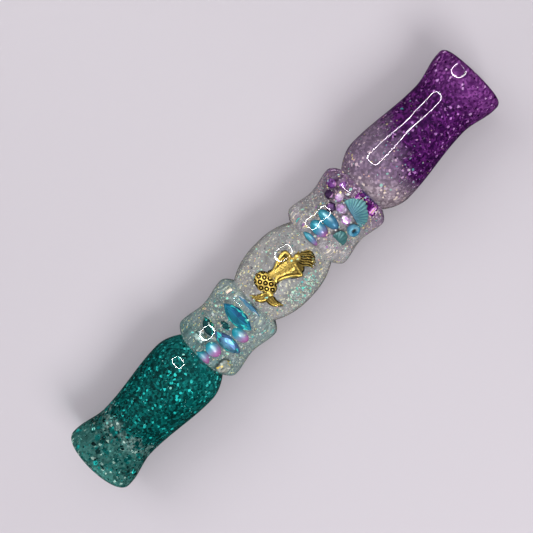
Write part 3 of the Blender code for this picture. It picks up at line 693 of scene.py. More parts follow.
charm_parts = [
    # the tail: two grooved lobes, the curl at its tip, and the wrist that joins it to the hip
    strand([
        (-8.7, -1.9, 0.6, -0.5), (-10.4, -1.9, 1.8, -0.35), (-12.3, -1.3, 1.9, -0.25),
        (-13.9, 0.3, 1.3, -0.2), (-14.7, 2.2, 0.3, -0.3),
    ], grooves=4),
    strand([(-13.2, 0.4, 0.4, -0.6), (-14.2, 1.2, 0.6, -0.1), (-14.7, 2.3, 0.35, -0.15)]),
    strand([
        (-8.9, -2.4, 0.7, -0.5), (-10.0, -3.6, 1.9, -0.4), (-10.3, -5.5, 1.7, -0.3),
        (-9.6, -7.3, 1.1, -0.3), (-8.6, -8.9, 0.3, -0.5),
    ], grooves=4),
    strand([(-9.1, -1.3, 1.2, -0.2), (-8.6, -2.6, 1.5, -0.1), (-7.9, -3.4, 0.8, -0.3)]),
    scaled_hip((-6.9, 1.4), (3.9, 4.8), 0.0),
    # the body: a burnished plate between the arms, and the waist and chest over it
    strand([
        (-3.4, 0.9, 3.0, -0.75), (-1.2, 0.7, 2.5, -0.7), (1.2, 0.1, 3.2, -0.75),
        (3.4, -0.6, 4.5, -0.75), (4.9, -0.8, 5.0, -0.75), (6.1, 0.3, 3.9, -0.8),
        (6.9, 0.4, 2.4, -0.9),
    ], sides=40, wear=0.4),
    strand([
        (-4.3, 0.9, 3.0, -0.4), (-2.5, 1.0, 2.3, -0.15), (-0.8, 0.7, 2.1, -0.2),
        (1.4, 0.2, 2.5, -0.4), (3.8, -0.6, 2.7, -0.5), (6.0, -0.5, 2.5, -0.4),
        (7.2, 0.0, 1.5, -0.5),
    ], sides=40, wear=0.66),
    strand([
        (-3.4, 2.6, 0.5, -0.3), (-1.6, 2.5, 0.55, -0.1), (0.2, 2.9, 0.6, -0.05),
        (3.0, 3.9, 0.7, 0.0), (5.6, 4.3, 0.8, 0.05), (6.8, 3.9, 0.8, 0.05),
        (6.9, 2.4, 0.9, 0.0), (6.4, 0.9, 0.6, -0.1),
    ]),
    strand([
        (-3.0, -1.3, 0.45, -0.35), (-0.6, -2.0, 0.6, -0.1), (1.6, -3.2, 0.6, -0.05),
        (3.6, -4.9, 0.65, 0.0), (4.8, -6.0, 0.5, -0.05), (5.3, -4.9, 0.7, 0.0),
        (5.7, -3.2, 0.8, 0.0), (6.2, -1.2, 0.9, 0.0),
    ]),
    # a fold under the arm, the neck and the head
    strand([(1.4, 2.7, 0.25, -0.35), (3.2, 3.0, 0.35, -0.3), (5.2, 3.0, 0.25, -0.35)]),
    strand([(6.3, 0.4, 0.8, -0.2), (7.2, 0.2, 0.9, 0.0), (7.9, -0.2, 1.0, 0.05)]),
    strand([
        (7.2, -0.2, 0.7, -0.2), (8.1, -0.4, 1.5, 0.2), (9.0, -0.5, 1.6, 0.2),
        (9.9, -0.6, 0.8, -0.1),
    ]),
    # the hair: a dark backing with six locks over it
    strand([
        (8.0, 0.2, 0.8, -0.9), (9.2, -1.3, 2.4, -0.8), (10.8, -3.2, 3.0, -0.8),
        (12.0, -4.9, 2.6, -0.85), (12.6, -5.8, 1.2, -1.0),
    ], wear=0.15),
]
HAIR_ENDS = ((9.9, -7.4), (11.1, -7.4), (12.2, -6.8), (13.0, -5.6), (13.6, -4.6), (14.3, -3.3))
HAIR_ROOTS = ((7.7, -0.7), (8.2, -0.2), (8.8, 0.3), (9.3, 0.6), (9.8, 0.8), (10.2, 0.7))
for number, (root, end) in enumerate(zip(HAIR_ROOTS, HAIR_ENDS)):
    root, end = np.array(root), np.array(end)
    bow = np.array([0.75, 0.5]) * (1.1 - 0.12 * number)
    low, high = root + (end - root) * 0.36 - bow * 0.4, root + (end - root) * 0.70 + bow * 0.6
    lift = 0.15 - 0.12 * abs(number - 1.5)
    charm_parts.append(strand([
        (*root, 0.45, lift), (*low, 0.72, lift + 0.1), (*high, 0.80, lift), (*end, 0.15, lift - 0.5),
    ], grooves=1, depth=0.35, sides=22))

charm_points, charm_faces, charm_worn, charm_start = [], [], [], 0
for points, faces, worn in charm_parts:
    charm_faces += [part + charm_start for part in faces]
    charm_points.append(points)
    charm_worn.append(worn)
    charm_start += len(points)
charm_points = np.concatenate(charm_points) * MM
charm_worn = np.concatenate(charm_worn)
charm_points[:, 2] += AXIS_HEIGHT + CHARM_TOP - charm_points[:, 1] ** 2 / (2 * CHARM_BEND)
charm_points[:, 0] += BULB_MIDDLE
charm_wear = np.clip((charm_worn[:, None] - WORN_START) / WORN_SPAN, 0, 1) ** WORN_POWER

brass, tree, shader = new_material("antique_brass", {"Metallic": 1.0})
tint = add_node(tree, "Attribute", attribute_name="tint")
speckle = textured(tree, "TexNoise", {"Scale": 1300.0, "Detail": 3.0})
toned = add_node(tree, "VectorMath", operation="SCALE")
spread(speckle, "Fac", toned, "Scale", 0.35, 1.15, 0.35, 0.62)
spread(speckle, "Fac", shader, "Roughness", 0.38, 0.2)
dent(speckle, "Fac", shader, 0.25, 0.2 * MM)
wire((tint, "Color", toned, 0), (toned, "Vector", shader, "Base Color"))
charm = put_mesh(
    "mermaid_charm_cast", charm_points, charm_faces, brass, True,
    PATINA + (BRIGHT_BRASS - PATINA) * charm_wear,
)
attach(charm, "barrel")
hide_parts("mermaid_charm")

# ---------------------------------------------------------------------------------------------
# The two collars: spools of clear resin over a hazy filling, rounded at both ends and waisted
# between, with fine flakes. The purple one turns lilac towards its insert, where a patch of
# violet glitter is laid on one side of its filling.

COLLAR_RADIUS = 15.6 * MM
COLLAR_WAIST = 14.0 * MM
COLLAR_ROUND = 4.0 * MM
COUNTERBORE_RADIUS = 10.1 * MM
COLLAR_CORE_RADIUS = 9.3 * MM
STONE_WINDOW = (62, 84)  # degrees from the top between which the filling rises beside the stones
BORE_EDGE = (0.6 * MM, 0.5 * MM)  # depth and width of the chamfer at the bore's insert end
CLEAR_ENDS = (0.6 * MM, 0.5 * MM)  # how far the filling stops short of the insert end and the bulb end
THINNEST_FILLING = 0.2 * MM
COLLAR_FLAKES = 2500
FLAKE_ENDS = (CLEAR_ENDS[0] + 0.4 * MM, 0.8 * MM)  # and how far the flakes do
FLAKE_FLOOR = 10.4 * MM  # no flake lies nearer the axis than this, nor in a layer thinner than the next
FLAKE_LAYER = 0.5 * MM
OVER_STONES = 0.05  # share of the flakes over the stones that are left
STONE_NODES = {
    "teal": (
        "teal_marquise", "sky_marquise", "violet_marquise", "dusk_pearl_long", "dusk_pearl_round",
        "dusk_pearl_end", "deep_teal_marquise", "deep_teal_chip", "clear_crystal", "aqua_crystal",
    ),
    "purple": (
        "lagoon_pearl_end", "lagoon_pearl_long", "lagoon_bead_long", "lagoon_bead_ring", "green_scale",
        "scallop_shell", "plum_gem_outer", "plum_gem_inner", "violet_oval", "violet_drop",
        "rose_crystal_outer", "rose_crystal_middle", "rose_crystal_inner",
    ),
}


def turned(start, end, share, rise):
    """Points from one (distance, radius) to another, at shares of the distance and of the rise."""
    (near, low), (far, high) = start, end
    return np.stack([near + (far - near) * share, low + (high - low) * rise], -1)


def rounding(start, end, count=14):
    """A turned shoulder: the radius rises from start to end as the sine of the distance to the
    power 0.9. Points are (distance, radius), and the end is left out."""
    share = np.linspace(0, 1, count, endpoint=False)
    return turned(start, end, share, np.sin(math.pi / 2 * share**0.9))


def swell(start, end, count=22):
    """A half wave of a cosine from one (distance, radius) to the next, which is left out."""
    share = np.linspace(0, 1, count, endpoint=False)
    return turned(start, end, share, (1 - np.cos(math.pi * share)) / 2)


def collar_skin(length):
    """A collar's outer outline as (distance, radius): rounded at both ends, waisted between."""
    near = rounding((JOINT_GAP, JOINT_RADIUS), (COLLAR_ROUND, COLLAR_RADIUS))
    near = np.concatenate([near, swell((COLLAR_ROUND, COLLAR_RADIUS), (length / 2, COLLAR_WAIST))])
    return np.concatenate([near, [(length / 2, COLLAR_WAIST)], (near * (-1, 1) + (length, 0))[::-1]])


def build_collar(side, direction, tint, filling_colours, flake_colours, seed):
    """A collar from its insert end at distance 0 to its bulb end: direction is 1 where distance
    grows with x."""
    low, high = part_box(side + "_collar")
    length = high.x - low.x + 2 * JOINT_GAP
    start = (low.x if direction > 0 else high.x) - direction * JOINT_GAP
    skin = collar_skin(length)
    step = length - SPIGOT_LENGTH - 2 * JOINT_GAP
    inside = [
        (length - JOINT_GAP, COUNTERBORE_RADIUS), (step, COUNTERBORE_RADIUS), (step, BORE_RADIUS),
        (BORE_EDGE[0], BORE_RADIUS), (JOINT_GAP, BORE_RADIUS + BORE_EDGE[1]),
    ]
    outline = softened(np.concatenate([skin, inside]))
    glass = put_mesh(
        side + "_collar_resin", *lathe(outline * (direction, 1) + (start, 0)),
        clear_resin(side + "_collar_clear", tint),
    )
    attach(glass, "barrel")
    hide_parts(side + "_collar")
    distance = np.linspace(CLEAR_ENDS[0], length - CLEAR_ENDS[1], 60)
    hole = (BORE_RADIUS + CORE_WALL, COUNTERBORE_RADIUS + CORE_WALL)
    within = np.interp(distance, (distance[0], distance[-1]), hole)
    least = within + THINNEST_FILLING
    over = np.maximum(np.interp(distance, skin[:, 0], skin[:, 1]) - HAZE_DEPTH, least)
    low_over = np.clip(over, None, np.maximum(COLLAR_CORE_RADIUS, least))
    if direction < 0:
        distance, over, low_over, hole = (row[::-1] for row in (distance, over, low_over, hole))
    haze = put_mesh(
        side + "_collar_filling",
        *windowed_core(start + direction * distance, low_over, over, hole, STONE_WINDOW),
        filling(side + "_collar_haze", 1900.0, *filling_colours),
    )
    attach(haze, "barrel")

    def skin_radius(x):
        return np.interp((x - start) * direction, skin[:, 0], skin[:, 1]) - FLAKE_SKIN

    def floor_radius(x):
        return np.minimum(FLAKE_FLOOR, skin_radius(x) - FLAKE_LAYER)

    rng = np.random.default_rng(seed)
    ends = sorted(start + direction * end for end in (FLAKE_ENDS[0], length - FLAKE_ENDS[1]))
    places = scatter(rng, COLLAR_FLAKES, ends, floor_radius, skin_radius, STONE_WINDOW)
    places = clear_of(places, STONE_NODES[side], OVER_STONES, rng)
    sizes = rng.gamma(2.0, FLAKE_GROWTH, len(places)) * MM + SMALLEST_FLAKE
    tints = pick_tints(rng, len(places), *flake_colours)
    cloud = flakes(side + "_collar_flakes", rng, places, sizes, tints, pearl_foil)
    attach(cloud, "barrel")


# colours, share of glints, how far the flakes lean, and a fade towards the insert
TEAL_HAZE = (
    ((0.16, 0.195, 0.20), (0.27, 0.32, 0.315), (0.46, 0.50, 0.38)), 0.06, 0.6,
    [(
        ((0.05, 0.11, 0.11), (0.14, 0.25, 0.25), (0.30, 0.45, 0.42)),
        (-1.0, 0.12, 0.0), 0.037, 0.047, 0.008,
    )],
)
LILAC_HAZE = (
    ((0.215, 0.205, 0.215), (0.37, 0.355, 0.365), (0.60, 0.55, 0.46)), 0.06, 0.6,
    [(
        ((0.11, 0.06, 0.12), (0.26, 0.16, 0.27), (0.50, 0.36, 0.50)),
        (1.0, 0.15, 0.0), 0.033, 0.044, 0.008,
    )],
)
build_collar(
    "teal", 1, (0.95, 0.985, 0.98), TEAL_HAZE,
    (PEARLESCENT + ((0.10, 0.45, 0.42),), PEARLESCENT_SHARES + (1.2,)), 21,
)
build_collar(
    "purple", -1, (0.97, 0.963, 0.975), LILAC_HAZE,
    (PEARLESCENT + ((0.45, 0.20, 0.50),), PEARLESCENT_SHARES + (1.2,)), 22,
)

PATCH_ENDS = (0.5 * MM, 5.3 * MM)  # distances from the collar's insert end
PATCH_TURN = (0.0, -66.0)  # degrees from the top towards +Y
PATCH_RADIUS = 9.1 * MM
PATCH_THICKNESS = 0.9 * MM


def laid_patch(x_ends, turn_ends, base, thickness, rows=60, sides=32):
    """A thin pad bent round the call's axis. Its section over x is a flattened ellipse whose height
    is the cube root of a sine, and near its two ends round the axis it shrinks as the sixth root
    of one less the square of the distance from its middle. Returns points and faces."""
    share = np.linspace(-0.999, 0.999, rows)[:, None]
    turn = np.radians(turn_ends[0] + (turn_ends[1] - turn_ends[0]) * (share + 1) / 2)
    shrunk = (1 - share**2) ** (1 / 6)
    section = np.linspace(0, math.tau, sides, endpoint=False)[None, :]
    x = np.mean(x_ends) + np.ptp(x_ends) / 2 * np.cos(section) * shrunk
    radius = base + thickness * np.cbrt(np.clip(np.sin(section), -0.2, 1)) * shrunk
    points = about_axis(x, radius, turn)
    return points, outward(points, [grid_faces(rows, sides), *end_caps(rows, sides)])


insert_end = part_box("purple_collar")[1].x
blue_edge = (  # the last stretch before the insert is a deep blue
    ((0.010, 0.006, 0.045), (0.035, 0.025, 0.13), (0.10, 0.09, 0.30)),
    (1.0, 0.0, 0.0), insert_end - 2.1 * MM, insert_end - 1.8 * MM, 0.0006,
)
violet_patch = put_mesh(
    "purple_collar_violet_patch",
    *laid_patch(insert_end - np.array(PATCH_ENDS), PATCH_TURN, PATCH_RADIUS, PATCH_THICKNESS),
    filling(
        "violet_patch", 1300.0, ((0.045, 0.003, 0.065), (0.20, 0.022, 0.24), (0.80, 0.36, 0.80)),
        glints=0.10, lean=0.9, fades=[blue_edge],
    ),
)
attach(violet_patch, "barrel")

# ---------------------------------------------------------------------------------------------
# The stones in the collars: pointed and round acrylic stones with a foil back and a thin rainbow
# coat, each facet catching its own colour. They are laid on the filling before the clear coats.

stone_finish = tinted("coated_stone", 0.5, 0.12, grain=900.0, specular=0.2)


def cut_stone(size, kind, sides):
    """A faceted stone in its own frame, x along the call, y round it, z out of it, its table at
    z = 0. Its rings are its outline at a share of its size, each turned half a step from the last,
    so that triangles join them. The outline is an ellipse, or for a marquise one whose width
    falls with the square of the distance from its middle. Returns points, triangles and the
    number of the ring band that each triangle belongs to."""
    length_x, length_round, thickness = size

    def ring(share, level, step):
        turn = (np.arange(sides) + step / 2) * math.tau / sides
        narrow = np.abs(np.sin(turn)) if kind == "marquise" else 1.0
        x, y = length_x / 2 * np.sin(turn) * narrow, length_round / 2 * np.cos(turn)
        return np.stack([share * x, share * y, np.full(sides, -level * thickness)], -1)

    rings = [
        ring(1.0, 0.5, 0), ring(0.83, 0.18, 1), ring(0.60, 0.0, 2),
        ring(0.72, 0.78, 1), ring(0.30, 0.97, 2),
    ]
    points = np.concatenate([*rings, [(0, 0, 0), (0, 0, -thickness)]])
    here = np.arange(sides)
    after = (here + 1) % sides

    def band(a, b):
        a, b = a * sides, b * sides
        lower = np.stack([a + here, a + after, b + here], -1)
        upper = np.stack([a + after, b + after, b + here], -1)
        return np.concatenate([lower, upper])

    table = np.stack([2 * sides + here, 2 * sides + after, 0 * here + 5 * sides], -1)
    culet = np.stack([4 * sides + after, 4 * sides + here, 0 * here + 5 * sides + 1], -1)
    back = np.concatenate([band(0, 3), band(3, 4)])[:, ::-1]
    faces = np.concatenate([band(0, 1), band(1, 2), table, back, culet])
    number = np.repeat([0, 1, 2, 3, 4, 5], [2 * sides, 2 * sides, sides, 2 * sides, 2 * sides, sides])
    return points, faces, number


def along_colours(place, colours):
    """The colour at each place on a line where the given colours stand at 0, 1, 2 and so on."""
    marks, colours = np.arange(len(colours)), np.array(colours)
    return np.stack([np.interp(place, marks, colours[:, k]) for k in range(3)], -1)


def facet_tints(points, faces, number, colours, glint, rng, sway=(1.0, 0.25)):
    """A colour for every corner of every facet: it runs through the given colours across the
    stone, in the direction of sway, each facet a little lighter or darker, and a few glint. No
    facet of the table glints."""
    middle = points[faces].mean(1)
    reach = np.abs(points).max(0)
    place = middle[:, 0] / reach[0] * sway[0] + middle[:, 1] / reach[1] * sway[1]
    place = place / (abs(sway[0]) + abs(sway[1]))
    place = np.clip(place * 0.5 + 0.5 + rng.normal(0, 0.13, len(faces)), 0, 1) * (len(colours) - 1)
    tint = along_colours(place, colours)
    tint *= rng.uniform(0.55, 1.4, (len(faces), 1))
    shining = (rng.uniform(size=len(faces)) < 0.14) & (number != 2)
    tint[shining] = np.array(glint) * rng.uniform(0.7, 1.1, (shining.sum(), 1))
    return np.repeat(np.clip(tint, 0, 1), 3, 0)


def on_its_side(points, degrees, radius, x, turn=0.0):
    """Carries points from a stone's own frame to the call: turned about its own z, lifted to a
    radius, turned round the call from the top towards +Y, and moved along it."""
    spin, roll = math.radians(turn), math.radians(degrees)
    a, b, c = points.T
    a, b = a * math.cos(spin) - b * math.sin(spin), a * math.sin(spin) + b * math.cos(spin)
    c = c + radius
    y, z = b * math.cos(roll) + c * math.sin(roll), c * math.cos(roll) - b * math.sin(roll)
    return np.stack([a + x, y, z + AXIS_HEIGHT], -1)


def in_place_of(points, node, turn=0.0):
    """Carries points from a stone's own frame to where the frame's node is: turned to its side of
    the call, with the middles of their boxes together."""
    low, high = (np.array(corner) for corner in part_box(node))
    middle = (low + high) / 2
    degrees = math.degrees(math.atan2(middle[1], middle[2] - AXIS_HEIGHT))
    placed = on_its_side(points, degrees, 0.0, 0.0, turn)
    return placed + middle - (placed.min(0) + placed.max(0)) / 2


DEEP_TEAL = ((0.004, 0.030, 0.038), (0.008, 0.075, 0.080), (0.004, 0.040, 0.046))
BLUE_TEAL = ((0.03, 0.20, 0.28), (0.01, 0.20, 0.28), (0.01, 0.13, 0.25), (0.03, 0.07, 0.20))
VIOLET_SEA = ((0.06, 0.24, 0.30), (0.07, 0.20, 0.30), (0.07, 0.09, 0.25), (0.08, 0.20, 0.30))
SKY = ((0.09, 0.26, 0.40), (0.10, 0.29, 0.45), (0.07, 0.20, 0.38))
CLEAR = ((0.36, 0.40, 0.38), (0.50, 0.50, 0.44), (0.20, 0.24, 0.22), (0.62, 0.60, 0.54))
AQUA = ((0.05, 0.26, 0.27), (0.34, 0.44, 0.40), (0.015, 0.09, 0.09), (0.20, 0.28, 0.25))
PLUM = ((0.012, 0.004, 0.02), (0.07, 0.03, 0.10), (0.02, 0.006, 0.035))
AMETHYST = ((0.09, 0.02, 0.14), (0.20, 0.06, 0.28), (0.28, 0.11, 0.36))
ROSE = ((0.72, 0.45, 0.70), (0.45, 0.20, 0.52), (0.86, 0.74, 0.86), (0.14, 0.03, 0.22))
YELLOW_GLINT, CYAN_GLINT = (0.85, 0.62, 0.12), (0.05, 0.80, 0.72)
PINK_GLINT, WHITE_GLINT = (0.86, 0.45, 0.78), (0.90, 0.90, 0.90)
# node, length along the call, length round it, thickness, kind, sides, turn, colours, glint, slot
FRAME_STONES = (
    ("teal_marquise", 6.6, 14.6, 1.8, "marquise", 14, 0, BLUE_TEAL, CYAN_GLINT, "teal_gem"),
    ("sky_marquise", 2.2, 12.4, 1.2, "marquise", 12, 0, SKY, WHITE_GLINT, "violet_gem"),
    ("violet_marquise", 6.2, 13.4, 1.8, "marquise", 14, 0, VIOLET_SEA, CYAN_GLINT, "violet_gem"),
    ("deep_teal_marquise", 5.0, 8.8, 1.8, "marquise", 12, -20, DEEP_TEAL, CYAN_GLINT, "deep_teal_gem"),
    ("deep_teal_chip", 2.8, 4.8, 1.6, "oval", 8, 0, DEEP_TEAL, CYAN_GLINT, "deep_teal_gem"),
    ("clear_crystal", 5.0, 6.0, 2.6, "oval", 12, 0, CLEAR, YELLOW_GLINT, "clear_gem"),
    ("aqua_crystal", 4.6, 5.6, 2.4, "oval", 12, 0, AQUA, WHITE_GLINT, "clear_gem"),
    ("plum_gem_outer", 4.2, 4.4, 2.2, "oval", 6, 0, PLUM, PINK_GLINT, "plum_gem"),
    ("plum_gem_inner", 4.6, 4.2, 2.2, "oval", 6, 20, PLUM, PINK_GLINT, "plum_gem"),
    ("violet_oval", 4.2, 5.6, 2.2, "oval", 10, 0, AMETHYST, PINK_GLINT, "amethyst_gem"),
    ("violet_drop", 2.2, 3.2, 1.6, "oval", 8, 0, AMETHYST, PINK_GLINT, "amethyst_gem"),
    ("rose_crystal_outer", 4.4, 3.6, 2.2, "oval", 8, 15, ROSE, WHITE_GLINT, "rose_gem"),
    ("rose_crystal_middle", 4.6, 4.4, 2.2, "oval", 8, -10, ROSE, WHITE_GLINT, "rose_gem"),
    ("rose_crystal_inner", 4.4, 4.6, 2.2, "oval", 8, 30, ROSE, WHITE_GLINT, "rose_gem"),
)
rng = np.random.default_rng(5)
for node, *size, kind, sides, turn, colours, glint, slot in FRAME_STONES:
    points, faces, number = cut_stone([MM * length for length in size], kind, sides)
    tint = facet_tints(points, faces, number, colours, glint, rng)
    placed = in_place_of(points, node, turn)
    stone = put_mesh(node + "_stone", placed, faces, stone_finish, False, tint)
    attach(stone, "barrel")
    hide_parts(node)

# More stones sit round the sides and the underside of both collars, sunk in the filling.
STONE_DEPTH = 0.5 * MM  # clear resin over their tables
# side, share of the collar's length, degrees from the top, size, kind, sides, turn, colours,
# glint, slot
FAR_STONES = (
    ("teal", 0.36, 118, (5.4, 11.0, 2.0), "marquise", 14, 0, BLUE_TEAL, CYAN_GLINT, "teal_gem"),
    ("teal", 0.66, 152, (4.6, 4.6, 2.4), "oval", 10, 0, CLEAR, YELLOW_GLINT, "clear_gem"),
    ("teal", 0.40, 178, (4.4, 8.0, 2.0), "marquise", 12, -15, DEEP_TEAL, CYAN_GLINT, "deep_teal_gem"),
    ("teal", 0.62, 208, (5.8, 12.0, 2.0), "marquise", 14, 10, VIOLET_SEA, CYAN_GLINT, "violet_gem"),
    ("teal", 0.34, 240, (4.2, 4.2, 2.2), "oval", 10, 0, AQUA, WHITE_GLINT, "clear_gem"),
    ("purple", 0.34, 112, (4.4, 5.6, 2.2), "oval", 10, 0, AMETHYST, PINK_GLINT, "amethyst_gem"),
    ("purple", 0.62, 140, (4.6, 4.4, 2.2), "oval", 6, 20, PLUM, PINK_GLINT, "plum_gem"),
    ("purple", 0.38, 168, (4.6, 4.8, 2.2), "oval", 8, 30, ROSE, WHITE_GLINT, "rose_gem"),
    ("purple", 0.64, 196, (5.4, 11.0, 2.0), "marquise", 14, -10, SKY, WHITE_GLINT, "violet_gem"),
    ("purple", 0.36, 232, (4.4, 4.4, 2.2), "oval", 8, 15, AMETHYST, PINK_GLINT, "amethyst_gem"),
)
for number, far_stone in enumerate(FAR_STONES):
    side, share, degrees, size, kind, sides, turn, colours, glint, slot = far_stone
    low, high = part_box(side + "_collar")
    length = high.x - low.x + 2 * JOINT_GAP
    radius = np.interp(share * length, *collar_skin(length).T) - STONE_DEPTH
    points, faces, band_number = cut_stone([MM * extent for extent in size], kind, sides)
    tint = facet_tints(points, faces, band_number, colours, glint, rng)
    points[:, 2] -= points[:, 1] ** 2 / (2 * radius)
    placed = on_its_side(points, degrees, radius, low.x + share * (high.x - low.x), turn)
    stone = put_mesh(f"{side}_far_stone_{number}", placed, faces, stone_finish, False, tint)
    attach(stone, "barrel")

# ---------------------------------------------------------------------------------------------
# The pearls, beads and shells in the collars: lacquered beads that fade from blue-green on one
# side to pink on the other, a round bead with a hole, and two cast shells with ribs.

pearl_finish = tinted("lacquered_bead", 0.3, 0.15, grain=700.0, specular=0.9)
shell_finish = tinted("shell_lacquer", 0.2, 0.20, grain=1500.0, specular=0.5)
# the beads' painted highlight: the pale colour of a sheen of light, and how strongly it is mixed in
# beside the crown
PEARL_HIGHLIGHT_COLOUR, PEARL_HIGHLIGHT_SHARE = (0.62, 0.86, 0.90), 0.62


def bead(size, rows=24, sides=40):
    """An ellipsoid with its top at z = 0, as rings from one end to the other with a small cap."""
    pole = np.linspace(0.03, math.pi - 0.03, rows)[:, None]
    turn = np.linspace(0, math.tau, sides, endpoint=False)[None, :]
    x, y, z = np.sin(pole) * np.cos(turn), np.sin(pole) * np.sin(turn), np.cos(pole) + 0 * turn
    points = np.stack([x, y, z], -1).reshape(-1, 3) * np.array(size) / 2 - (0, 0, size[2] / 2)
    return points, outward(points, [grid_faces(rows, sides), *end_caps(rows, sides)])


def ring_bead(size, hole=0.30, rows=48, sides=20):
    """A bead with a hole through it along z: a circle turned about z, then stretched."""
    section = (1 - hole) / 4
    turn = np.linspace(0, math.tau, rows, endpoint=False)[:, None]
    round_section = np.linspace(0, math.tau, sides, endpoint=False)[None, :]
    reach = hole / 2 + section * (1 + np.cos(round_section))
    z = 0.5 * np.sin(round_section) + 0 * turn
    points = np.stack([reach * np.cos(turn), reach * np.sin(turn), z], -1).reshape(-1, 3)
    points = points * np.array(size) - (0, 0, size[2] / 2)
    return points, outward(points, grid_faces(rows, sides, close_rows=True))


def across_tints(points, colours):
    """A colour for each point, running through the given colours from its -Y side to its +Y. A painted
    highlight, a pale sheen of light, is mixed in on a spot beside the crown: the mix falls as the
    square of one less the squared distance from the spot's middle."""
    share = points / (np.ptp(points, axis=0) / 2)
    place = (share[:, 1] + 1) / 2 * (len(colours) - 1)
    tint = along_colours(place, colours)
    # painted highlight: the spot beside the crown where the pale sheen of light is mixed into the
    # colour
    away = ((share[:, 0] - 0.28) / 0.42) ** 2 + ((share[:, 1] - 0.12) / 0.62) ** 2
    pale = np.where(share[:, 2] > -1, np.clip(1 - away, 0, 1) ** 2, 0)[:, None]
    return tint + (np.array(PEARL_HIGHLIGHT_COLOUR) - tint) * PEARL_HIGHLIGHT_SHARE * pale


def ribbed_shell(size, ribs, depth, rows=22, columns=181):
    """A half-moon shell with its straight side at -x: lines run from the straight side to a round
    rim, whose reach drops a little between ribs. Its height is a dome that falls to the rim, and
    along each line the ribs rise as the size of a sine. Its back is the same lines, sunk."""
    length_x, length_round, thickness = size
    out = np.linspace(0.0, 1.0, rows)[:, None]
    sweep = np.linspace(-1, 1, columns)[None, :]
    rib = np.abs(np.sin(math.pi * ribs * (sweep + 1) / 2))
    rim_x = length_x * (np.cos(sweep * math.pi / 2) ** 0.75 * (0.95 + 0.05 * rib) - 0.5)
    rim_y = length_round / 2 * np.sin(sweep * math.pi / 2) * (0.97 + 0.03 * rib)
    root_x, root_y = -length_x / 2 + 0 * sweep, length_round * 0.20 * sweep
    x, y = root_x + (rim_x - root_x) * out, root_y + (rim_y - root_y) * out
    edge = np.cos(sweep * math.pi / 2) ** 0.3
    dome = (0.30 + 0.70 * np.sqrt(np.clip(1 - (1.6 * out - 0.55) ** 2, 0, 1))) * edge
    height = -thickness * 0.45 + thickness * 0.45 * dome * (1 - depth * (1 - rib) * out)
    front = np.stack([x, y, height], -1)
    back = np.stack([x * 0.98, y * 0.98, -thickness * (0.55 + 0.45 * dome * 0.8)], -1)
    points = np.concatenate([front[::-1], back]).reshape(-1, 3)
    rows *= 2
    i, j = np.arange(rows)[:, None], np.arange(columns - 1)[None, :]
    i_next = (i + 1) % rows
    here, after = i * columns + j, i_next * columns + j
    quads = np.stack([here, here + 1, after + 1, after], -1)
    ends = [np.arange(rows)[None, :] * columns, np.arange(rows)[None, ::-1] * columns + columns - 1]
    relief = np.concatenate([(rib * out)[::-1], rib * out]).ravel()
    return points, outward(points, [quads.reshape(-1, 4), *ends]), relief


DUSK = (
    (0.40, 0.07, 0.30), (0.42, 0.17, 0.40), (0.24, 0.30, 0.46), (0.02, 0.32, 0.42), (0.005, 0.24, 0.31),
)
LAGOON = (
    (0.34, 0.07, 0.28), (0.16, 0.20, 0.38), (0.03, 0.29, 0.40), (0.01, 0.30, 0.40), (0.02, 0.20, 0.28),
)
DEEP_LAGOON = ((0.04, 0.14, 0.26), (0.03, 0.20, 0.32), (0.02, 0.24, 0.33), (0.03, 0.28, 0.35))
HOLED = ((0.01, 0.13, 0.24), (0.03, 0.24, 0.38), (0.16, 0.40, 0.52), (0.06, 0.28, 0.40))
# node, length along the call, length round it, thickness, colours from -Y to +Y, slot
FRAME_BEADS = (
    ("dusk_pearl_long", 5.2, 8.0, 4.4, DUSK, "gradient_pearl"),
    ("dusk_pearl_round", 5.2, 6.6, 4.4, DUSK, "gradient_pearl"),
    ("dusk_pearl_end", 3.3, 6.2, 4.0, DUSK, "gradient_pearl"),
    ("lagoon_pearl_end", 3.0, 7.4, 3.0, LAGOON, "gradient_pearl"),
    ("lagoon_pearl_long", 5.1, 7.8, 4.4, LAGOON, "gradient_pearl"),
    ("lagoon_bead_long", 5.2, 10.0, 4.4, DEEP_LAGOON, "aqua_bead"),
    ("lagoon_bead_ring", 5.7, 5.9, 3.4, HOLED, "aqua_bead"),
)
for node, *size, colours, slot in FRAME_BEADS:
    shape = ring_bead if node == "lagoon_bead_ring" else bead
    points, faces = shape([MM * length for length in size])
    tint = across_tints(points, colours)
    placed = in_place_of(points, node)
    piece = put_mesh(node + "_lacquered", placed, faces, pearl_finish, True, tint)
    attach(piece, "barrel")
    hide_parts(node)

SHELL_DEEP, SHELL_CREST = np.array((0.018, 0.080, 0.17)), np.array((0.12, 0.33, 0.31))
SCALE_DEEP, SCALE_CREST = np.array((0.018, 0.10, 0.11)), np.array((0.05, 0.16, 0.155))
for node, size, ribs, depth, turn, deep, crest in (
    ("scallop_shell", (6.1, 12.4, 2.2), 13, 0.7, -16, SHELL_DEEP, SHELL_CREST),
    ("green_scale", (4.8, 6.4, 1.4), 5, 0.18, 0, SCALE_DEEP, SCALE_CREST),
):
    points, faces, relief = ribbed_shell([MM * length for length in size], ribs, depth)
    tint = deep + (crest - deep) * (0.25 + 0.75 * relief[:, None])
    placed = in_place_of(points, node, turn)
    piece = put_mesh(node + "_ribbed", placed, faces, shell_finish, True, tint)
    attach(piece, "barrel")
    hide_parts(node)

# ---------------------------------------------------------------------------------------------
# The two inserts: the blown ends, cast in clear resin with glitter, turned to a bulge, a waist
# and a flared mouth, and bored. A plug at the inner end, with two grooves for seals, fits the
# barrel's bore. The teal glitter is chunky and thins out at the mouth; the purple starts in
# pale resin next to the barrel and thickens to a deep violet.

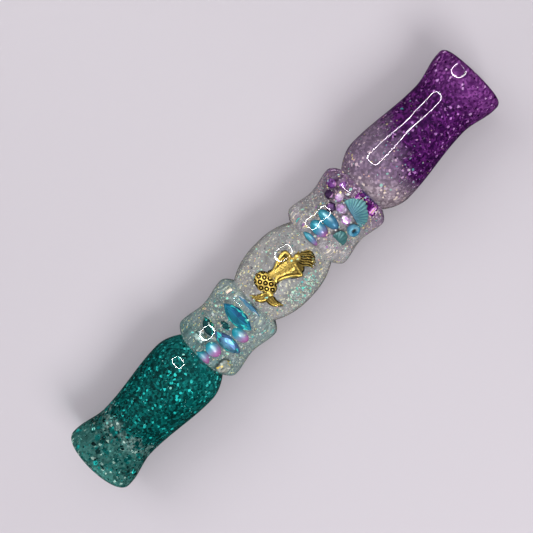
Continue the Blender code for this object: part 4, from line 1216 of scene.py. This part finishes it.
INSERT_LENGTH = 63.0 * MM
SHOULDER_RADIUS = 11.6 * MM
BULGE = (11.0 * MM, 15.95 * MM)
WAIST = (44.5 * MM, 13.3 * MM)
FLARE = (60.0 * MM, 16.0 * MM)
RIM_ROUND = 2.2 * MM
TENON_LENGTH = 18.0 * MM
TENON_RADIUS = 7.6 * MM
GROOVE_RADIUS = 6.4 * MM
GROOVES = ((0.9 * MM, 2.5 * MM), (11.0 * MM, 12.6 * MM))
SHANK_BORE = 5.3 * MM
insert_skin = np.concatenate([
    rounding((JOINT_GAP, SHOULDER_RADIUS), BULGE), swell(BULGE, WAIST, 40), swell(WAIST, FLARE, 24),
])
rim_turn = np.linspace(0, math.pi / 2, 8)
rim_curve = np.stack([
    INSERT_LENGTH - RIM_ROUND * (1 - np.sin(rim_turn)), FLARE[1] - RIM_ROUND * (1 - np.cos(rim_turn)),
], -1)
# (distance, radius) in millimetres, from the mouth through the throat to the plug's end
INSERT_BORE = ((63.0, 9.6), (61.6, 8.2), (34.0, 6.7), (26.0, 4.3), (4.0, 4.3), (4.0, 5.3), (-18.0, 5.3))
insert_bore = MM * np.array(INSERT_BORE)


def insert_radius(distance):
    return np.interp(distance, insert_skin[:, 0], insert_skin[:, 1], right=FLARE[1])


def bore_radius(distance):
    return np.interp(distance, insert_bore[::-1, 0], insert_bore[::-1, 1])


def build_insert(side, direction, tint, material, core_marks):
    """The insert's clear shell and its filling. Distances run outwards from the shoulder, and
    direction is the sign of x at that end. core_marks are (distance, clear resin over the
    filling) along the part outside the barrel."""
    low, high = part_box(side + "_insert")
    shoulder = (high.x if direction > 0 else low.x) - direction * INSERT_LENGTH
    grooves = []
    for near, far in GROOVES[::-1]:
        grooves += [(-far, TENON_RADIUS), (-far, GROOVE_RADIUS)]
        grooves += [(-near, GROOVE_RADIUS), (-near, TENON_RADIUS)]
    plug = [(-TENON_LENGTH, TENON_RADIUS), *grooves, (JOINT_GAP, TENON_RADIUS)]
    outline = softened(np.concatenate([insert_skin, rim_curve, insert_bore, plug]))
    glass = put_mesh(
        side + "_insert_resin", *lathe(outline * (direction, 1) + (shoulder, 0), 160),
        clear_resin(side + "_insert_clear", tint),
    )
    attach(glass, side + "_end")
    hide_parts(side + "_insert")
    marks = MM * np.array(core_marks)
    distance = np.linspace(marks[0, 0], marks[-1, 0], 90)
    depth = np.interp(distance, marks[:, 0], marks[:, 1])
    over = np.maximum(insert_radius(distance) - depth, bore_radius(distance) + 2 * CORE_WALL)
    tail, inner_end, plug_core = distance[-1], -TENON_LENGTH + CORE_WALL, GROOVE_RADIUS - CORE_WALL
    core = np.concatenate([
        [(inner_end, plug_core), (distance[0], plug_core)], np.stack([distance, over], -1),
        [(tail, bore_radius(tail) + CORE_WALL)], insert_bore[2:-1] + (0, CORE_WALL),
        [(inner_end, SHANK_BORE + CORE_WALL)],
    ])
    core = core * (direction, 1) + (shoulder, 0)
    heart = put_mesh(side + "_insert_filling", *lathe(core, 112), material)
    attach(heart, side + "_end")
    return shoulder


GLITTER_ENDS = (0.8 * MM, 62.0 * MM)  # distances between which the glitter lies
GLITTER_WALL = 0.5 * MM  # no flake lies nearer the bore than this
GLITTER_THICKNESS = 0.10  # of a flake's radius


def glitter(
    name, side, direction, shoulder, rng, count, layer, size, colours, material, sides, crowd,
):
    """Flakes in an insert. layer is how deep they lie, from and to; size is
    their smallest radius and the scale of a gamma draw above it; crowd gives, for places, the
    share of them that is kept; colours is a function of places and rng that gives their tints."""
    def floor_radius(distance):
        return np.maximum(insert_radius(distance) - layer[1], bore_radius(distance) + GLITTER_WALL)

    def roof_radius(distance):
        return insert_radius(distance) - layer[0]

    places = scatter(rng, count, GLITTER_ENDS, floor_radius, roof_radius)
    places = places[rng.uniform(size=count) < crowd(places)]
    sizes = size[0] + rng.gamma(2.0, size[1], len(places))
    tints = colours(places, rng)
    places = places * (direction, 1, 1) + (shoulder, 0, 0)
    cloud = flakes(name, rng, places, sizes, tints, material, sides, GLITTER_THICKNESS)
    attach(cloud, side + "_end")


# Its glitter is lighter next to the barrel, pale where it runs out and darker again at the rim.
TEAL_FADES = (
    (
        ((0.003, 0.055, 0.055), (0.012, 0.23, 0.22), (0.06, 0.58, 0.55)),
        (1.0, 0.0, 0.0), -0.060, -0.050, 0.012,
    ),
    (
        ((0.08, 0.15, 0.14), (0.27, 0.36, 0.34), (0.75, 0.80, 0.76)),
        (-1.0, 0.0, 0.0), 0.0878, 0.0908, 0.016,
    ),
    (
        ((0.030, 0.115, 0.105), (0.085, 0.235, 0.215), (0.45, 0.58, 0.52)),
        (-1.0, 0.0, 0.0), 0.0922, 0.0965, 0.009,
    ),
)
teal_filling = filling(
    "teal_filling", 1100.0, ((0.001, 0.026, 0.026), (0.003, 0.15, 0.14), (0.02, 0.50, 0.47)),
    glints=0.05, lean=1.0, fades=TEAL_FADES,
)
teal_shoulder = build_insert(
    "teal", -1, (0.86, 0.96, 0.94), teal_filling,
    ((0.6, 1.0), (36.0, 1.2), (46.0, 4.0), (56.0, 4.2), (61.8, 2.4)),
)
teal_foil = tinted("teal_glitter", 0.45, 0.14, grain=2500.0)
TEALS = (
    (0.001, 0.025, 0.026), (0.002, 0.10, 0.098), (0.004, 0.24, 0.23), (0.02, 0.55, 0.52),
    (0.40, 0.95, 0.88),
)
TEAL_SHARES = (3.4, 3.5, 2.4, 1.1, 0.45)


def teal_crowd(places):
    """Full up to the waist, then thinning to a quarter at the mouth."""
    return np.interp(places[:, 0], (0.038, 0.047, 0.055, 0.062), (1.0, 0.75, 0.55, 0.25))


def teal_tints(places, rng):
    return pick_tints(rng, len(places), TEALS, TEAL_SHARES)


rng = np.random.default_rng(31)
for name, count, layer, size, sides in (
    ("teal_fine_glitter", 12500, (0.3 * MM, 3.2 * MM), (0.10 * MM, 0.06 * MM), 4),
    ("teal_mid_glitter", 2400, (0.6 * MM, 4.0 * MM), (0.30 * MM, 0.11 * MM), 6),
    ("teal_chunky_glitter", 420, (1.2 * MM, 5.0 * MM), (0.80 * MM, 0.16 * MM), 6),
):
    glitter(
        name, "teal", -1, teal_shoulder, rng, count, layer, size, teal_tints, teal_foil, sides,
        teal_crowd,
    )

PURPLE_START = 0.0655  # where the violet starts along x, on the axis
PURPLE_SLANT = -0.5  # and how that moves with y
VIOLET_BED = ((0.022, 0.002, 0.036), (0.15, 0.022, 0.185), (0.46, 0.20, 0.50))
# The pale bed turns violet past the slanted start, is palest next to the barrel but for a violet
# ring at the shoulder, and is a lighter violet at the mouth.
PURPLE_FADES = (
    (VIOLET_BED, (1.0, PURPLE_SLANT, 0.0), PURPLE_START - 0.005, PURPLE_START + 0.006, 0.022),
    (
        ((0.17, 0.135, 0.155), (0.40, 0.345, 0.36), (0.72, 0.64, 0.50)),
        (-1.0, -0.6, 0.0), -0.056, -0.047, 0.010,
    ),
    (VIOLET_BED, (-1.0, 0.0, 0.0), -0.0476, -0.0466, 0.001),
    (
        ((0.07, 0.012, 0.09), (0.26, 0.07, 0.29), (0.62, 0.38, 0.64)),
        (1.0, 0.0, 0.0), 0.093, 0.103, 0.014,
    ),
)
purple_filling = filling(
    "purple_filling", 1100.0, ((0.13, 0.095, 0.14), (0.27, 0.20, 0.275), (0.50, 0.40, 0.42)),
    glints=0.03, lean=0.7, fades=PURPLE_FADES,
)
purple_shoulder = build_insert(
    "purple", 1, (0.95, 0.91, 0.97), purple_filling, ((0.6, 1.0), (52.0, 1.2), (61.8, 1.6)),
)
purple_foil = tinted("purple_glitter", 0.4, 0.16, grain=2500.0)
PURPLES = (
    (0.012, 0.001, 0.020), (0.055, 0.006, 0.080), (0.16, 0.028, 0.20), (0.42, 0.14, 0.46),
    (0.85, 0.60, 0.86),
)
PURPLE_SHARES = (3.0, 2.6, 2.2, 1.2, 0.4)


def in_violet(places, rng):
    """Which places lie past the frayed start of the violet."""
    along = places[:, 0] + purple_shoulder + PURPLE_SLANT * places[:, 1]
    return along + rng.normal(0, 0.009, len(places)) > PURPLE_START


def purple_tints(places, rng):
    violet = pick_tints(rng, len(places), PURPLES, PURPLE_SHARES)
    pale = pick_tints(rng, len(places), PEARLESCENT, PEARLESCENT_SHARES)
    return np.where(in_violet(places, rng)[:, None], violet, pale)


def purple_crowd(places):
    """Sparse in the pale part, full in the violet, thinner at the mouth."""
    along = places[:, 0] + purple_shoulder + PURPLE_SLANT * places[:, 1]
    start = np.clip((along - PURPLE_START) / 0.014 + 0.6, 0.3, 1)
    return start * np.interp(places[:, 0], (0.048, 0.060), (1.0, 0.6))


rng = np.random.default_rng(32)
for name, count, layer, size, sides in (
    ("purple_fine_glitter", 11500, (0.3 * MM, 3.0 * MM), (0.12 * MM, 0.07 * MM), 4),
    ("purple_mid_glitter", 1900, (0.6 * MM, 3.6 * MM), (0.32 * MM, 0.10 * MM), 6),
):
    glitter(
        name, "purple", 1, purple_shoulder, rng, count, layer, size, purple_tints, purple_foil, sides,
        purple_crowd,
    )

# ---------------------------------------------------------------------------------------------
# The seals: four greased rubber rings in the plugs' grooves, which grip the barrel's bore.

rubber, tree, shader = new_material("seal_rubber")
smear = textured(tree, "TexNoise", {"Scale": 500.0, "Detail": 3.0})
blend(smear, "Fac", shader, (0.010, 0.010, 0.012), (0.026, 0.026, 0.030))
spread(smear, "Fac", shader, "Roughness", 0.22, 0.5)
for side in ("teal", "purple"):
    for place in ("outer", "inner"):
        node = side + "_o_ring_" + place
        low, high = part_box(node)
        section = (high.x - low.x) / 2
        reach = (high.y - low.y) / 2 - section
        turn = np.linspace(0, math.tau, 28, endpoint=False)
        middle = (low.x + high.x) / 2
        circle = np.stack([middle + section * np.cos(turn), reach + section * np.sin(turn)], -1)
        seal = put_mesh(node + "_seal", *lathe(circle, 96), rubber)
        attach(seal, side + "_seals")
        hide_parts(node)

# ---------------------------------------------------------------------------------------------
# The sounding parts in each insert: a black acetal toneboard turned and milled from rod, two
# reeds of clear film, and a wedge of cork that holds their tails.


SHARP = math.radians(32)  # edges that turn by more than this are broken, and shaded as edges


def crisp_copy(node, body, material, bevel):
    """A merged copy of a frame node with its edges broken, smooth where it was turned."""
    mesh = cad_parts[node].data.copy()
    shape = bmesh.new()
    shape.from_mesh(mesh)
    bmesh.ops.remove_doubles(shape, verts=shape.verts, dist=0.002 * MM)
    bmesh.ops.dissolve_limit(shape, angle_limit=math.radians(0.4), verts=shape.verts, edges=shape.edges)
    shape.to_mesh(mesh)
    shape.free()
    mesh.materials.clear()
    mesh.materials.append(material)
    mesh.polygons.foreach_set("use_smooth", np.full(len(mesh.polygons), True))
    mesh.set_sharp_from_angle(angle=SHARP)
    piece = new_object(node + "_finished", mesh)
    if bevel:
        edges = piece.modifiers.new("broken_edges", "BEVEL")
        edges.width = bevel
        edges.segments = 2
        edges.limit_method = "ANGLE"
        edges.angle_limit = SHARP
    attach(piece, body)
    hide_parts(node)


acetal, tree, shader = new_material("black_acetal")
marks = textured(tree, "TexNoise", {"Scale": 3500.0, "Detail": 2.0}, stretch=(1.0, 0.06, 0.06))
blend(marks, "Fac", shader, (0.012, 0.012, 0.014), (0.034, 0.034, 0.037))
spread(marks, "Fac", shader, "Roughness", 0.34, 0.55)
dent(marks, "Fac", shader, 0.15, 0.1 * MM)

film, tree, shader = new_material("reed_film", {"Coat Weight": 0.5})
scuff = textured(tree, "TexNoise", {"Scale": 420.0, "Detail": 5.0})
blend(scuff, "Fac", shader, (0.62, 0.66, 0.68), (0.80, 0.83, 0.84))
spread(scuff, "Fac", shader, "Roughness", 0.10, 0.35)

cork, tree, shader = new_material("cut_cork", {"Roughness": 0.85})
grains = textured(tree, "TexVoronoi", {"Scale": 1400.0})
pits = textured(tree, "TexNoise", {"Scale": 900.0, "Detail": 4.0})
browns = {"A": (0.20, 0.10, 0.045, 1), "B": (0.62, 0.42, 0.24, 1)}
tan = add_node(tree, "Mix", browns, data_type="RGBA")
spread(pits, "Fac", tan, "Factor", 0.0, 1.0, 0.36, 0.5)
wire((tan, "Result", shader, "Base Color"))
dent(grains, "Distance", shader, 0.5, 0.3 * MM)

for side in ("teal", "purple"):
    crisp_copy(side + "_toneboard", side + "_end", acetal, 0.12 * MM)
    crisp_copy(side + "_cork_wedge", side + "_end", cork, 0.15 * MM)
    crisp_copy(side + "_reed_lower", side + "_lower_reed", film, 0)
    crisp_copy(side + "_reed_upper", side + "_upper_reed", film, 0)
